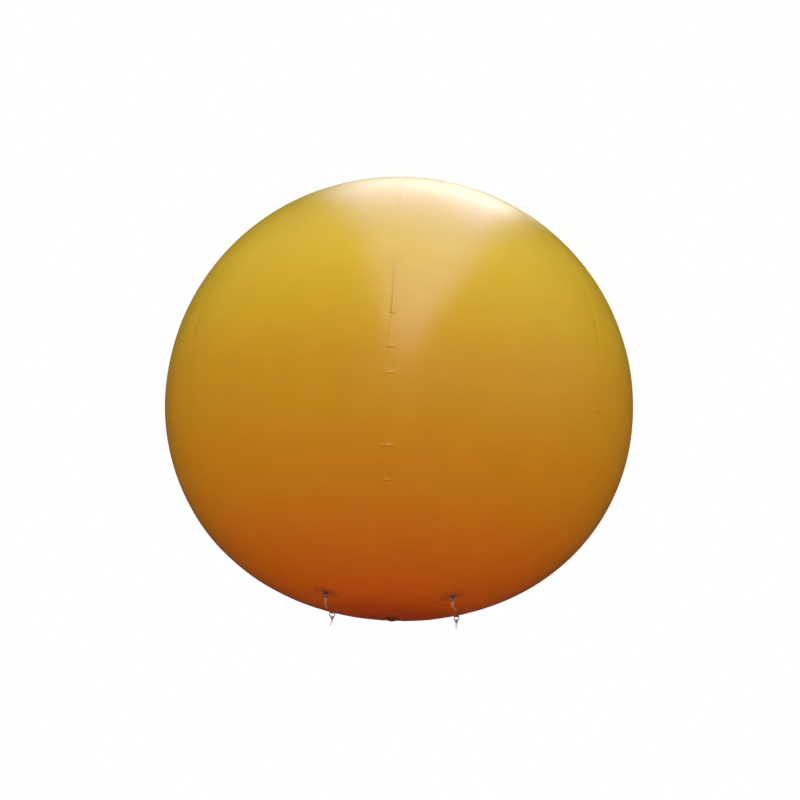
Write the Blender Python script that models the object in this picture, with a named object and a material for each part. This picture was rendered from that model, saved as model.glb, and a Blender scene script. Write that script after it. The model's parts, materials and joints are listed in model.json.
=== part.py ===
"""Round advertising balloon of welded film, with its tie points and filling valve.

Metres, +Z up. The origin is the middle of the balloon, which floats with nothing under it.
Azimuth 0 looks out along -Y, over the front seam, and grows towards +X.
Colatitude is 0 at the crown and pi at the base.
"""
import math

import bmesh
import bpy
from mathutils import Matrix, Vector

# Envelope: a sphere that hangs a little full below its equator
EQUATOR_RADIUS = 1.500
OBLATENESS = 0.0398
BASE_FULLNESS = 0.0126
LOW_SHOULDER = 0.0140
SQUARENESS = 0.0056
MEAN_RADIUS = EQUATOR_RADIUS - OBLATENESS + SQUARENESS
WALL = 0.010
GAP = 0.0003

# Gores: the cut panels of film, in flat facets
GORES = 6
COLUMNS_PER_GORE = 10
ROWS_BETWEEN_PATCHES = 16
SEAM_WIDTH = 0.028
SEAM_THICKNESS = 0.002

# Polar patches, flat in the middle, over the gores' tips
TIP_RADIUS = 0.022
POLE_FLAT_RADIUS = 0.055
POLE_PATCH_RADIUS = 0.150
POLE_PATCH_THICKNESS = 0.0025
VALVE_HOLE_RADIUS = 0.0200

# Tie points round the base: a welded disc, a webbing loop and a ring
TIE_AZIMUTHS = [math.radians(degrees) for degrees in (-45.0, 45.0, 135.0, 225.0)]
TIE_RADIUS_FROM_AXIS = 0.565
TIE_ROW_HALF_SPAN = math.radians(4.1)
TIE_PATCH_RADIUS = 0.080
TIE_PATCH_THICKNESS = 0.0025
TIE_PATCH_STEPS = (0.28, 0.60, 0.80, 0.95)
STRAP_WIDTH = 0.030
STRAP_THICKNESS = 0.002
STRAP_HALF_LENGTH = 0.020
STRAP_BEND = 0.002
STRAP_ARC_STEPS = 8
HINGE_HEIGHT = 0.0115
WIRE_RADIUS = 0.003
WIRE_SIDES = 8
LOOP_CLEARANCE = 0.0005

# D-ring, measured on its wire's centre line
RING_HALF_WIDTH = 0.022
RING_CORNER_RADIUS = 0.005
RING_CORNER_STEPS = 3
RING_BOW_CENTRE = 0.008
RING_BOW_SEGMENTS = 15

# Tie cord: two turns round the ring, with its middle facet free between them,
# their legs into the knot below, a short end and a long one
CORD_RADIUS = 0.002
CORD_SIDES = 8
TURN_STEPS = 12
TURN_ANGLE = 2.0 * math.pi / RING_BOW_SEGMENTS
KNOT_SIZE = (0.0100, 0.0065, 0.0070)
KNOT_DROP = 0.0105
LEG_END_SIDEWAYS = 0.0045
SHORT_END_START = -0.004
SHORT_END_LEAN = -0.005
SHORT_END_LENGTH = 0.028

# Long ends of the tie cords: (sideways, drop) from where each leaves the knot's underside
CORD_START = 0.0045
CORD_STEPS = 2
CORD_ROUTES = [
    [(0.0, 0.0), (0.001, 0.014), (0.003, 0.030), (0.006, 0.046)],
    [(0.0, 0.0), (0.002, 0.010), (0.014, 0.023), (0.034, 0.032)],
    [(0.0, 0.0), (-0.001, 0.013), (-0.003, 0.027), (-0.006, 0.040)],
    [(0.0, 0.0), (0.002, 0.013), (0.006, 0.027), (0.011, 0.040)],
]

# Filling valve: heights run down from the base patch's outer face
VALVE_FLANGE_RADIUS = 0.042
VALVE_FLANGE_THICKNESS = 0.003
VALVE_NECK_RADIUS = 0.019
VALVE_BORE_RADIUS = 0.014
VALVE_MOUTH_DEPTH = 0.016
VALVE_INNER_HEIGHT = 0.016
VALVE_END_THICKNESS = 0.003
CAP_RADIUS = 0.021
CAP_THICKNESS = 0.003
CAP_PLUG_RADIUS = 0.0125
CAP_PLUG_HEIGHT = 0.008
CAP_HINGE_DISTANCE = 0.034
CAP_HINGE_DEPTH = 0.0148
CAP_KNUCKLE_RADIUS = 0.0035
CAP_KNUCKLE_ARC = (-75.0, 150.0)
CAP_KNUCKLE_STEPS = 9
CAP_ARM_HALF_WIDTH = 0.005
CAP_ARM_OVERLAP = 0.004
CAP_STEP = 0.0005
CAP_TAB_HALF_WIDTH = 0.007
CAP_TAB_OVERLAP = 0.003
CAP_TAB_END = 0.032
EAR_THICKNESS = 0.003
EAR_HALF_LENGTH = 0.004
TURNED_SEGMENTS = 24

# Shading: edges sharper than these, in degrees, stay crisp
FILM_EDGE = 30.0
WIRE_EDGE = 50.0
ROUNDING = 1e-9


def clear_scene():
    """Remove what the start-up file holds."""
    for item in list(bpy.data.objects):
        bpy.data.objects.remove(item, do_unlink=True)


def make_material(name, colour, roughness, metallic=0.0):
    """A Principled BSDF with one colour."""
    material = bpy.data.materials.new(name)
    material.use_nodes = True
    shader = material.node_tree.nodes["Principled BSDF"]
    shader.inputs["Base Color"].default_value = (*colour, 1.0)
    shader.inputs["Roughness"].default_value = roughness
    shader.inputs["Metallic"].default_value = metallic
    return material


def envelope_radius(colatitude):
    """Distance of the film from the origin, a circle with four small departures."""
    latitude = math.pi / 2.0 - colatitude
    return (MEAN_RADIUS + OBLATENESS * math.cos(2.0 * latitude) - BASE_FULLNESS * math.sin(latitude)
            - LOW_SHOULDER * math.sin(3.0 * latitude) - SQUARENESS * math.cos(4.0 * latitude))


def envelope_row(colatitude):
    """Radius from the axis and height of the film at a colatitude."""
    radius = envelope_radius(colatitude)
    return radius * math.sin(colatitude), radius * math.cos(colatitude)


def colatitude_at(radius_from_axis, pole):
    """Colatitude where the film is this far from the axis, near the crown (0) or the base (pi)."""
    colatitude = math.asin(radius_from_axis / envelope_radius(pole))
    for _ in range(8):
        colatitude = math.asin(radius_from_axis / envelope_radius(abs(pole - colatitude)))
    return abs(pole - colatitude)


TIE_COLATITUDE = colatitude_at(TIE_RADIUS_FROM_AXIS, math.pi)


def envelope_rows():
    """Rows of facets from crown to base: colatitude, radius from the axis, height."""
    rows = []
    crown_flat = colatitude_at(POLE_FLAT_RADIUS, 0.0)
    base_flat = colatitude_at(POLE_FLAT_RADIUS, math.pi)
    patch_top = colatitude_at(POLE_PATCH_RADIUS, 0.0)
    patch_base = colatitude_at(POLE_PATCH_RADIUS, math.pi)
    rows.append((crown_flat * TIP_RADIUS / POLE_FLAT_RADIUS, TIP_RADIUS, envelope_row(crown_flat)[1]))
    rows.append((crown_flat, *envelope_row(crown_flat)))
    last = TIE_COLATITUDE - TIE_ROW_HALF_SPAN
    for index in range(ROWS_BETWEEN_PATCHES + 2):
        colatitude = patch_top + (last - patch_top) * index / (ROWS_BETWEEN_PATCHES + 1)
        rows.append((colatitude, *envelope_row(colatitude)))
    below_tie = TIE_COLATITUDE + TIE_ROW_HALF_SPAN
    rows.append((below_tie, *envelope_row(below_tie)))
    rows.append((patch_base, *envelope_row(patch_base)))
    rows.append((base_flat, *envelope_row(base_flat)))
    tip = math.pi - (math.pi - base_flat) * TIP_RADIUS / POLE_FLAT_RADIUS
    rows.append((tip, TIP_RADIUS, envelope_row(base_flat)[1]))
    return rows


ROWS = envelope_rows()
COLUMN_ANGLE = 2.0 * math.pi / (GORES * COLUMNS_PER_GORE)


def outward(azimuth):
    """Level unit vector away from the axis."""
    return Vector((math.sin(azimuth), -math.cos(azimuth), 0.0))


def along(azimuth):
    """Level unit vector round the balloon, towards growing azimuth."""
    return Vector((math.cos(azimuth), math.sin(azimuth), 0.0))


def lifted(point, lift):
    """The point moved away from the balloon's middle, or straight up or down on a polar flat."""
    flat = math.hypot(point.x, point.y) < POLE_FLAT_RADIUS + GAP
    direction = Vector((0.0, 0.0, math.copysign(1.0, point.z))) if flat else point.normalized()
    return point + direction * lift


def facet_point(azimuth, colatitude, lift=0.0):
    """Point on the faceted film: straight between rows and between columns."""
    lower = next(index for index in range(1, len(ROWS)) if colatitude <= ROWS[index][0] + ROUNDING)
    above = ROWS[lower - 1]
    below = ROWS[lower]
    share = (colatitude - above[0]) / (below[0] - above[0])
    radius = above[1] + (below[1] - above[1]) * share
    height = above[2] + (below[2] - above[2]) * share
    middle = (math.floor(azimuth / COLUMN_ANGLE + ROUNDING) + 0.5) * COLUMN_ANGLE
    radius *= math.cos(COLUMN_ANGLE / 2.0) / math.cos(azimuth - middle)
    return lifted(outward(azimuth) * radius + Vector((0.0, 0.0, height)), lift)


def add_object(name, mesh, material, matrix=None):
    """Link a mesh as a named object with its material."""
    item = bpy.data.objects.new(name, mesh)
    bpy.context.scene.collection.objects.link(item)
    mesh.materials.clear()
    mesh.materials.append(material)
    if matrix is not None:
        item.matrix_world = matrix
    return item


def mesh_from(name, points, faces):
    """A closed mesh with its faces turned outwards."""
    mesh = bpy.data.meshes.new(name)
    mesh.from_pydata([tuple(point) for point in points], [], faces)
    shape = bmesh.new()
    shape.from_mesh(mesh)
    bmesh.ops.recalc_face_normals(shape, faces=shape.faces)
    shape.to_mesh(mesh)
    shape.free()
    return mesh


def smooth(mesh, degrees=FILM_EDGE):
    """Shade round faces smooth and keep the edges sharper than an angle."""
    mesh.shade_smooth()
    mesh.set_sharp_from_angle(angle=math.radians(degrees))


def slab(name, outer, inner):
    """Open sheet with thickness: two matching grids of points, and the rim between them."""
    rows = len(outer)
    columns = len(outer[0])
    points = [point for row in outer for point in row] + [point for row in inner for point in row]
    under = rows * columns
    faces = []
    for row in range(rows - 1):
        for column in range(columns - 1):
            corner = row * columns + column
            quad = (corner, corner + 1, corner + columns + 1, corner + columns)
            faces.append(quad)
            faces.append(tuple(under + index for index in reversed(quad)))
    rim = [column for column in range(columns)]
    rim += [row * columns + columns - 1 for row in range(1, rows)]
    rim += [(rows - 1) * columns + column for column in range(columns - 2, -1, -1)]
    rim += [row * columns for row in range(rows - 2, 0, -1)]
    for index, start in enumerate(rim):
        end = rim[(index + 1) % len(rim)]
        faces.append((start, under + start, under + end, end))
    return mesh_from(name, points, faces)


def ring_slab(name, outer, inner, hole):
    """Round sheet with thickness: rings of points, with a hole in the middle or closed."""
    columns = len(outer[0])
    points = [point for row in outer for point in row] + [point for row in inner for point in row]
    under = len(outer) * columns
    last = (len(outer) - 1) * columns
    faces = []
    for column in range(columns):
        following = (column + 1) % columns
        for row in range(len(outer) - 1):
            near = row * columns
            far = near + columns
            quad = (near + column, near + following, far + following, far + column)
            faces.append(quad)
            faces.append(tuple(under + index for index in reversed(quad)))
        faces.append((last + column, under + last + column, under + last + following, last + following))
        if hole:
            faces.append((column, following, under + following, under + column))
    if not hole:
        faces.append(tuple(range(columns)))
        faces.append(tuple(under + column for column in reversed(range(columns))))
    return mesh_from(name, points, faces)


def turned(name, profile, segments=TURNED_SEGMENTS):
    """Solid of revolution about Z of a closed outline of (radius, height) points."""
    points = []
    rings = []
    for radius, height in profile:
        if radius == 0.0:
            rings.append([len(points)] * segments)
            points.append((0.0, 0.0, height))
            continue
        rings.append([len(points) + index for index in range(segments)])
        for index in range(segments):
            angle = 2.0 * math.pi * index / segments
            points.append((radius * math.cos(angle), radius * math.sin(angle), height))
    faces = []
    for position, ring in enumerate(rings):
        other = rings[(position + 1) % len(rings)]
        for index in range(segments):
            following = (index + 1) % segments
            corners = [ring[index], ring[following], other[following], other[index]]
            face = list(dict.fromkeys(corners))
            if len(face) > 2:
                faces.append(face)
    return mesh_from(name, points, faces)


def extruded(name, outline, low, high):
    """Straight solid of a (y, z) outline between two values of x."""
    count = len(outline)
    points = [(x, y, z) for x in (low, high) for y, z in outline]
    faces = [tuple(range(count)), tuple(count + index for index in reversed(range(count)))]
    for index in range(count):
        following = (index + 1) % count
        faces.append((index, count + index, count + following, following))
    return mesh_from(name, points, faces)


def arc(centre, radius, start, end, steps):
    """Points of an arc in two dimensions, angles in degrees."""
    points = []
    for index in range(steps + 1):
        angle = math.radians(start + (end - start) * index / steps)
        points.append((centre[0] + radius * math.cos(angle), centre[1] + radius * math.sin(angle)))
    return points


def tube(name, path, radius, sides, closed):
    """Faceted tube along a path in the XZ plane, with a flat facet on each side of that plane's line."""
    corner = radius / math.cos(math.pi / sides)
    count = len(path)
    points = []
    for index, (x, z) in enumerate(path):
        before = path[index - 1] if closed or index else path[index]
        after = path[(index + 1) % count] if closed or index < count - 1 else path[index]
        first = Vector((x - before[0], 0.0, z - before[1]))
        second = Vector((after[0] - x, 0.0, after[1] - z))
        first = second if first.length == 0.0 else first
        second = first if second.length == 0.0 else second
        direction = (first.normalized() + second.normalized()).normalized()
        stretch = 1.0 / direction.dot(first.normalized())
        normal = Vector((-direction.z, 0.0, direction.x)) * stretch
        for side in range(sides):
            angle = 2.0 * math.pi * (side + 0.5) / sides
            offset = normal * corner * math.cos(angle) + Vector((0.0, corner * math.sin(angle), 0.0))
            points.append(Vector((x, 0.0, z)) + offset)
    faces = []
    for index in range(count if closed else count - 1):
        following = (index + 1) % count
        for side in range(sides):
            near = index * sides
            far = following * sides
            other = (side + 1) % sides
            faces.append((near + side, near + other, far + other, far + side))
    if not closed:
        faces.append(tuple(range(sides)))
        faces.append(tuple((count - 1) * sides + side for side in reversed(range(sides))))
    return mesh_from(name, points, faces)


def united(name, meshes):
    """One closed mesh from overlapping closed meshes."""
    base = bpy.data.objects.new(name, meshes[0])
    bpy.context.scene.collection.objects.link(base)
    helpers = []
    for mesh in meshes[1:]:
        helper = bpy.data.objects.new(mesh.name, mesh)
        bpy.context.scene.collection.objects.link(helper)
        helper.hide_render = True
        helper.display_type = "WIRE"
        helpers.append(helper)
        modifier = base.modifiers.new(mesh.name, "BOOLEAN")
        modifier.operation = "UNION"
        modifier.object = helper
    evaluated = base.evaluated_get(bpy.context.evaluated_depsgraph_get())
    result = bpy.data.meshes.new_from_object(evaluated)
    result.name = name
    for item in [base] + helpers:
        bpy.data.objects.remove(item, do_unlink=True)
    return result


def build_gores(film):
    """Six panels from crown to base, each a sixth of a turn wide, less half a gap on each side."""
    for gore in range(GORES):
        outer = []
        inner = []
        for colatitude, _, _ in ROWS:
            for layer, lift in ((outer, 0.0), (inner, -WALL)):
                line = []
                for column in range(COLUMNS_PER_GORE + 1):
                    azimuth = (gore * COLUMNS_PER_GORE + column) * COLUMN_ANGLE
                    point = facet_point(azimuth, colatitude, lift)
                    if column == 0:
                        point += along(azimuth) * GAP / 2.0
                    if column == COLUMNS_PER_GORE:
                        point -= along(azimuth) * GAP / 2.0
                    line.append(point)
                layer.append(line)
        mesh = slab(f"gore_{gore + 1}", outer, inner)
        smooth(mesh)
        add_object(f"gore_{gore + 1}", mesh, film)


def build_seams(film):
    """Lap welds: a narrow strip over each joint between gores, from patch to patch."""
    end_gap = 2.0 * GAP / envelope_radius(0.0)
    inside = [row[0] for row in ROWS[2:-2]]
    levels = [inside[0] + end_gap] + inside[1:-1] + [inside[-1] - end_gap]
    for seam in range(GORES):
        azimuth = seam * COLUMNS_PER_GORE * COLUMN_ANGLE
        outer = []
        inner = []
        for colatitude in levels:
            ridge = facet_point(azimuth, colatitude)
            line = []
            for side in (-1.0, 0.0, 1.0):
                neighbour = facet_point(azimuth + side * COLUMN_ANGLE, colatitude)
                step = (neighbour - ridge).normalized() * (SEAM_WIDTH / 2.0) if side else Vector()
                line.append(ridge + step)
            outer.append([lifted(point, GAP + SEAM_THICKNESS) for point in line])
            inner.append([lifted(point, GAP) for point in line])
        mesh = slab(f"seam_{seam + 1}", outer, inner)
        smooth(mesh)
        add_object(f"seam_{seam + 1}", mesh, film)


def build_pole_patches(film):
    """Round patches over the gores' tips; the base one has the valve's hole."""
    for name, rows, hole in (("crown_patch", ROWS[:3], False), ("base_patch", ROWS[:-4:-1], True)):
        outer = []
        inner = []
        for position, (colatitude, radius, height) in enumerate(rows):
            if hole and position == 0:
                radius = VALVE_HOLE_RADIUS
            upper = []
            lower = []
            for column in range(GORES * COLUMNS_PER_GORE):
                point = outward(column * COLUMN_ANGLE) * radius + Vector((0.0, 0.0, height))
                upper.append(lifted(point, GAP + POLE_PATCH_THICKNESS))
                lower.append(lifted(point, GAP))
            outer.append(upper)
            inner.append(lower)
        mesh = ring_slab(name, outer, inner, hole)
        smooth(mesh)
        add_object(name, mesh, film)


def build_tie_patch(name, azimuth, film):
    """Round reinforcing disc that follows the facets under it."""
    crease = COLUMN_ANGLE / 2.0
    radius_angle = TIE_PATCH_RADIUS / TIE_RADIUS_FROM_AXIS
    offsets = sorted([share * radius_angle for share in TIE_PATCH_STEPS] + [crease])
    offsets = [-offset for offset in reversed(offsets)] + [0.0] + offsets
    outer = [[], []]
    inner = [[], []]
    film_radius = envelope_radius(TIE_COLATITUDE)
    for offset in offsets:
        sideways = offset * TIE_RADIUS_FROM_AXIS
        half_span = math.sqrt(TIE_PATCH_RADIUS ** 2 - sideways ** 2) / film_radius
        for row, side in enumerate((-1.0, 1.0)):
            colatitude = TIE_COLATITUDE + side * half_span
            outer[row].append(facet_point(azimuth + offset, colatitude, GAP + TIE_PATCH_THICKNESS))
            inner[row].append(facet_point(azimuth + offset, colatitude, GAP))
    mesh = slab(name, outer, inner)
    add_object(name, mesh, film)


def tie_axes(azimuth):
    """Seat of a tie point on the film: its point and the axes round, down and out of the facet."""
    seat = facet_point(azimuth, TIE_COLATITUDE)
    below = facet_point(azimuth, TIE_COLATITUDE + TIE_ROW_HALF_SPAN)
    sideways = along(azimuth)
    down = (below - seat).normalized()
    normal = sideways.cross(down).normalized()
    if normal.dot(seat) < 0.0:
        normal = -normal
    return seat, sideways, normal


def hinge_point(azimuth):
    """Middle of the ring's straight bar, in the webbing loop."""
    seat, _, normal = tie_axes(azimuth)
    return seat + normal * HINGE_HEIGHT


def build_tie_strap(name, azimuth, webbing):
    """Webbing with two feet on the disc and a loop round the ring's bar."""
    bore = WIRE_RADIUS + LOOP_CLEARANCE
    foot = GAP + TIE_PATCH_THICKNESS + GAP
    top = foot + STRAP_THICKNESS
    shell = bore + STRAP_THICKNESS
    outline = [(-STRAP_HALF_LENGTH, foot), (-STRAP_HALF_LENGTH, top), (-shell - STRAP_BEND, top)]
    outline += reversed(arc((0.0, HINGE_HEIGHT), shell, 0.0, 180.0, STRAP_ARC_STEPS))
    outline += [(shell + STRAP_BEND, top), (STRAP_HALF_LENGTH, top), (STRAP_HALF_LENGTH, foot),
                (bore, foot)]
    outline += arc((0.0, HINGE_HEIGHT), bore, 0.0, 180.0, STRAP_ARC_STEPS)
    outline += [(-bore, foot)]
    mesh = extruded(name, outline, -STRAP_WIDTH / 2.0, STRAP_WIDTH / 2.0)
    seat, sideways, normal = tie_axes(azimuth)
    turn = Matrix((sideways, normal.cross(sideways), normal)).transposed()
    smooth(mesh)
    add_object(name, mesh, webbing, Matrix.Translation(seat) @ turn.to_4x4())


def ring_path():
    """Centre line of the D-ring's wire: bar at height 0, bow below it."""
    width = RING_HALF_WIDTH
    corner = RING_CORNER_RADIUS
    path = arc((width - corner, -corner), corner, 90.0, 0.0, RING_CORNER_STEPS)
    path += arc((0.0, -RING_BOW_CENTRE), width, 0.0, -180.0, RING_BOW_SEGMENTS)
    path += arc((corner - width, -corner), corner, 180.0, 90.0, RING_CORNER_STEPS)
    return path


def bow_radius():
    """Distance from the bow's centre to the middle of a facet's centre line."""
    return RING_HALF_WIDTH * math.cos(math.pi / (2.0 * RING_BOW_SEGMENTS))


def bow_bottom():
    """Height of the wire's centre line in the middle of the bow."""
    return -RING_BOW_CENTRE - bow_radius()


def turn_radius():
    """Radius of a turn's centre line, which leaves a gap round the wire."""
    return WIRE_RADIUS + GAP + CORD_RADIUS / math.cos(math.pi / CORD_SIDES)


def turn_mesh(side):
    """One turn of cord square to the bow's wire, left (-1) or right (1) of the middle facet."""
    mesh = turned("turn", arc((turn_radius() / math.cos(math.pi / TURN_STEPS), 0.0), CORD_RADIUS,
                              180.0 / CORD_SIDES, 360.0 - 180.0 / CORD_SIDES, CORD_SIDES - 1), TURN_STEPS)
    mesh.transform(Matrix.Rotation(math.pi / 2.0, 4, "Y"))
    mesh.transform(Matrix.Rotation(-side * TURN_ANGLE, 4, "Y"))
    mesh.transform(Matrix.Translation((side * bow_radius() * math.sin(TURN_ANGLE), 0.0,
                                       -RING_BOW_CENTRE - bow_radius() * math.cos(TURN_ANGLE))))
    return mesh


def leg_mesh(side):
    """Straight piece of cord from the underside of a turn into the knot."""
    reach = bow_radius() + turn_radius()
    start = (side * reach * math.sin(TURN_ANGLE), -RING_BOW_CENTRE - reach * math.cos(TURN_ANGLE))
    end = (side * LEG_END_SIDEWAYS, bow_bottom() - KNOT_DROP)
    return tube("leg", [start, end], CORD_RADIUS - GAP, CORD_SIDES, closed=False)


def lump_mesh():
    """The knot itself, an oval lump."""
    mesh = bpy.data.meshes.new("lump")
    shape = bmesh.new()
    bmesh.ops.create_uvsphere(shape, u_segments=12, v_segments=8, radius=1.0)
    bmesh.ops.scale(shape, vec=KNOT_SIZE, verts=shape.verts)
    bmesh.ops.translate(shape, vec=(0.0, 0.0, bow_bottom() - KNOT_DROP), verts=shape.verts)
    shape.to_mesh(mesh)
    shape.free()
    return mesh


def knot_mesh():
    """Two turns of cord round the bow, their legs, the knot under them and its short end."""
    middle = bow_bottom() - KNOT_DROP
    short_end = [(SHORT_END_START, middle), (SHORT_END_START + SHORT_END_LEAN, middle - SHORT_END_LENGTH)]
    end = tube("short_end", short_end, CORD_RADIUS, CORD_SIDES, closed=False)
    sides = (-1.0, 1.0)
    turns = [turn_mesh(side) for side in sides]
    legs = [leg_mesh(side) for side in sides]
    return united("tie_knot", [lump_mesh()] + turns + legs + [end])


def smooth_route(points, pieces):
    """Points of a Catmull-Rom curve through a route, with as many pieces between each two."""
    padded = [2.0 * points[0] - points[1]] + points + [2.0 * points[-1] - points[-2]]
    route = []
    for index in range(1, len(padded) - 2):
        before, start, end, after = padded[index - 1:index + 3]
        for step in range(pieces):
            share = step / pieces
            route.append(0.5 * (2.0 * start + (end - before) * share
                                + (2.0 * before - 5.0 * start + 4.0 * end - after) * share ** 2
                                + (3.0 * start - before - 3.0 * end + after) * share ** 3))
    route.append(points[-1].copy())
    return route


def build_tie_cord(name, route, matrix, cord):
    """Long end of the tie cord: a tube from the knot's underside, in the ring's plane."""
    start = bow_bottom() - KNOT_DROP - KNOT_SIZE[2] - GAP
    points = [Vector((CORD_START + sideways, 0.0, start - drop)) for sideways, drop in route]
    curve = bpy.data.curves.new(name, "CURVE")
    curve.dimensions = "3D"
    curve.bevel_depth = CORD_RADIUS
    curve.bevel_resolution = 2
    curve.use_fill_caps = True
    line = curve.splines.new("POLY")
    places = smooth_route(points, CORD_STEPS)
    line.points.add(len(places) - 1)
    for point, place in zip(line.points, places):
        point.co = (*place, 1.0)
    curve.materials.append(cord)
    item = bpy.data.objects.new(name, curve)
    bpy.context.scene.collection.objects.link(item)
    item.matrix_world = matrix


def build_tie_points(film, webbing, steel, cord):
    """Four tie points, each with its disc, webbing, ring, knot and long cord end."""
    path = ring_path()
    knot = knot_mesh()
    for number, azimuth in enumerate(TIE_AZIMUTHS, start=1):
        build_tie_patch(f"tie_patch_{number}", azimuth, film)
        build_tie_strap(f"tie_strap_{number}", azimuth, webbing)
        place = Matrix.Translation(hinge_point(azimuth)) @ Matrix.Rotation(azimuth, 4, "Z")
        ring = tube(f"d_ring_{number}", path, WIRE_RADIUS, WIRE_SIDES, closed=True)
        smooth(ring, WIRE_EDGE)
        add_object(f"d_ring_{number}", ring, steel, place)
        tie = knot.copy()
        smooth(tie, WIRE_EDGE)
        add_object(f"tie_knot_{number}", tie, cord, place)
        build_tie_cord(f"tie_cord_{number}", CORD_ROUTES[number - 1], place, cord)


def valve_face():
    """Height of the base patch's outer face."""
    return ROWS[-1][2] - GAP - POLE_PATCH_THICKNESS


def build_valve_neck(plastic):
    """Threaded tube through the flange, with a blind socket for the filling nozzle."""
    inside = VALVE_INNER_HEIGHT + VALVE_END_THICKNESS
    profile = [
        (0.0, VALVE_INNER_HEIGHT),
        (VALVE_BORE_RADIUS, VALVE_INNER_HEIGHT),
        (VALVE_BORE_RADIUS, -VALVE_MOUTH_DEPTH),
        (VALVE_NECK_RADIUS, -VALVE_MOUTH_DEPTH),
        (VALVE_NECK_RADIUS, inside),
        (0.0, inside),
    ]
    mesh = turned("valve_neck", profile)
    smooth(mesh)
    add_object("valve_neck", mesh, plastic, Matrix.Translation((0.0, 0.0, valve_face())))


def build_valve_flange(plastic):
    """Ring welded on the base patch round the neck, with the cap's two hinge ears."""
    seat = -GAP
    flange = seat - VALVE_FLANGE_THICKNESS
    bore = VALVE_NECK_RADIUS + GAP
    profile = [
        (bore, seat),
        (bore, flange),
        (VALVE_FLANGE_RADIUS, flange),
        (VALVE_FLANGE_RADIUS, seat),
    ]
    parts = [turned("valve_flange", profile)]
    ear_foot = flange + VALVE_FLANGE_THICKNESS / 2.0
    ear_end = -CAP_HINGE_DEPTH - EAR_HALF_LENGTH / 2.0
    near = CAP_HINGE_DISTANCE - EAR_HALF_LENGTH
    far = CAP_HINGE_DISTANCE + EAR_HALF_LENGTH
    outline = [(near, ear_foot), (near, ear_end), (far, ear_end), (far, ear_foot)]
    for side in (-1.0, 1.0):
        inner_face = side * (CAP_ARM_HALF_WIDTH + GAP)
        outer_face = inner_face + side * EAR_THICKNESS
        parts.append(extruded("ear", outline, min(inner_face, outer_face), max(inner_face, outer_face)))
    mesh = united("valve_flange", parts)
    smooth(mesh)
    add_object("valve_flange", mesh, plastic, Matrix.Translation((0.0, 0.0, valve_face())))


def build_valve_cap(plastic):
    """Plug with a finger tab, on an arm that turns between the flange's ears."""
    top = CAP_HINGE_DEPTH - VALVE_MOUTH_DEPTH - GAP
    bottom = top - CAP_THICKNESS
    profile = [
        (0.0, top + CAP_PLUG_HEIGHT),
        (CAP_PLUG_RADIUS, top + CAP_PLUG_HEIGHT),
        (CAP_PLUG_RADIUS, top),
        (CAP_RADIUS, top),
        (CAP_RADIUS, bottom),
        (0.0, bottom),
    ]
    disc = turned("valve_cap", profile)
    disc.transform(Matrix.Translation((0.0, -CAP_HINGE_DISTANCE, 0.0)))
    reach = CAP_RADIUS - CAP_HINGE_DISTANCE - CAP_ARM_OVERLAP
    underside = bottom + CAP_STEP
    arm_outline = [(reach, top), (reach, underside), (0.0, underside)]
    arm_outline += arc((0.0, 0.0), CAP_KNUCKLE_RADIUS, *CAP_KNUCKLE_ARC, CAP_KNUCKLE_STEPS)
    arm_outline += [(-CAP_KNUCKLE_RADIUS, top)]
    arm = extruded("arm", arm_outline, -CAP_ARM_HALF_WIDTH, CAP_ARM_HALF_WIDTH)
    tab_start = -CAP_HINGE_DISTANCE - CAP_RADIUS + CAP_TAB_OVERLAP
    tab_end = -CAP_HINGE_DISTANCE - CAP_TAB_END
    tab_outline = [(tab_start, top - CAP_STEP), (tab_end, top - CAP_STEP), (tab_end, underside),
                   (tab_start, underside)]
    tab = extruded("tab", tab_outline, -CAP_TAB_HALF_WIDTH, CAP_TAB_HALF_WIDTH)
    mesh = united("valve_cap", [disc, arm, tab])
    smooth(mesh)
    place = Matrix.Translation((0.0, CAP_HINGE_DISTANCE, valve_face() - CAP_HINGE_DEPTH))
    add_object("valve_cap", mesh, plastic, place)


def main():
    """Build every piece of the balloon."""
    clear_scene()
    gold_film = make_material("gold_film", (0.62, 0.33, 0.03), 0.18)
    seam_film = make_material("seam_film", (0.50, 0.22, 0.02), 0.22)
    patch_film = make_material("patch_film", (0.36, 0.10, 0.01), 0.35)
    webbing = make_material("dark_webbing", (0.06, 0.02, 0.01), 0.75)
    steel = make_material("stainless_steel", (0.72, 0.71, 0.69), 0.22, 1.0)
    cord = make_material("tan_cord", (0.62, 0.36, 0.24), 0.85)
    plastic = make_material("moulded_vinyl", (0.22, 0.06, 0.015), 0.4)
    build_gores(gold_film)
    build_seams(seam_film)
    build_pole_patches(seam_film)
    build_tie_points(patch_film, webbing, steel, cord)
    build_valve_flange(plastic)
    build_valve_neck(plastic)
    build_valve_cap(plastic)


main()
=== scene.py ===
"""Looks of a round advertising balloon: welded golden film, its tie points and its filling valve.

Metres, +Z up, with the origin in the middle of the balloon. Azimuth 0 looks out along -Y over the
front seam and grows towards +X. Colatitude is 0 at the crown and pi at the base. Each surface is a
grid of two parameters, worked out with numpy for all its points at once.
"""
import json
import math

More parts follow.
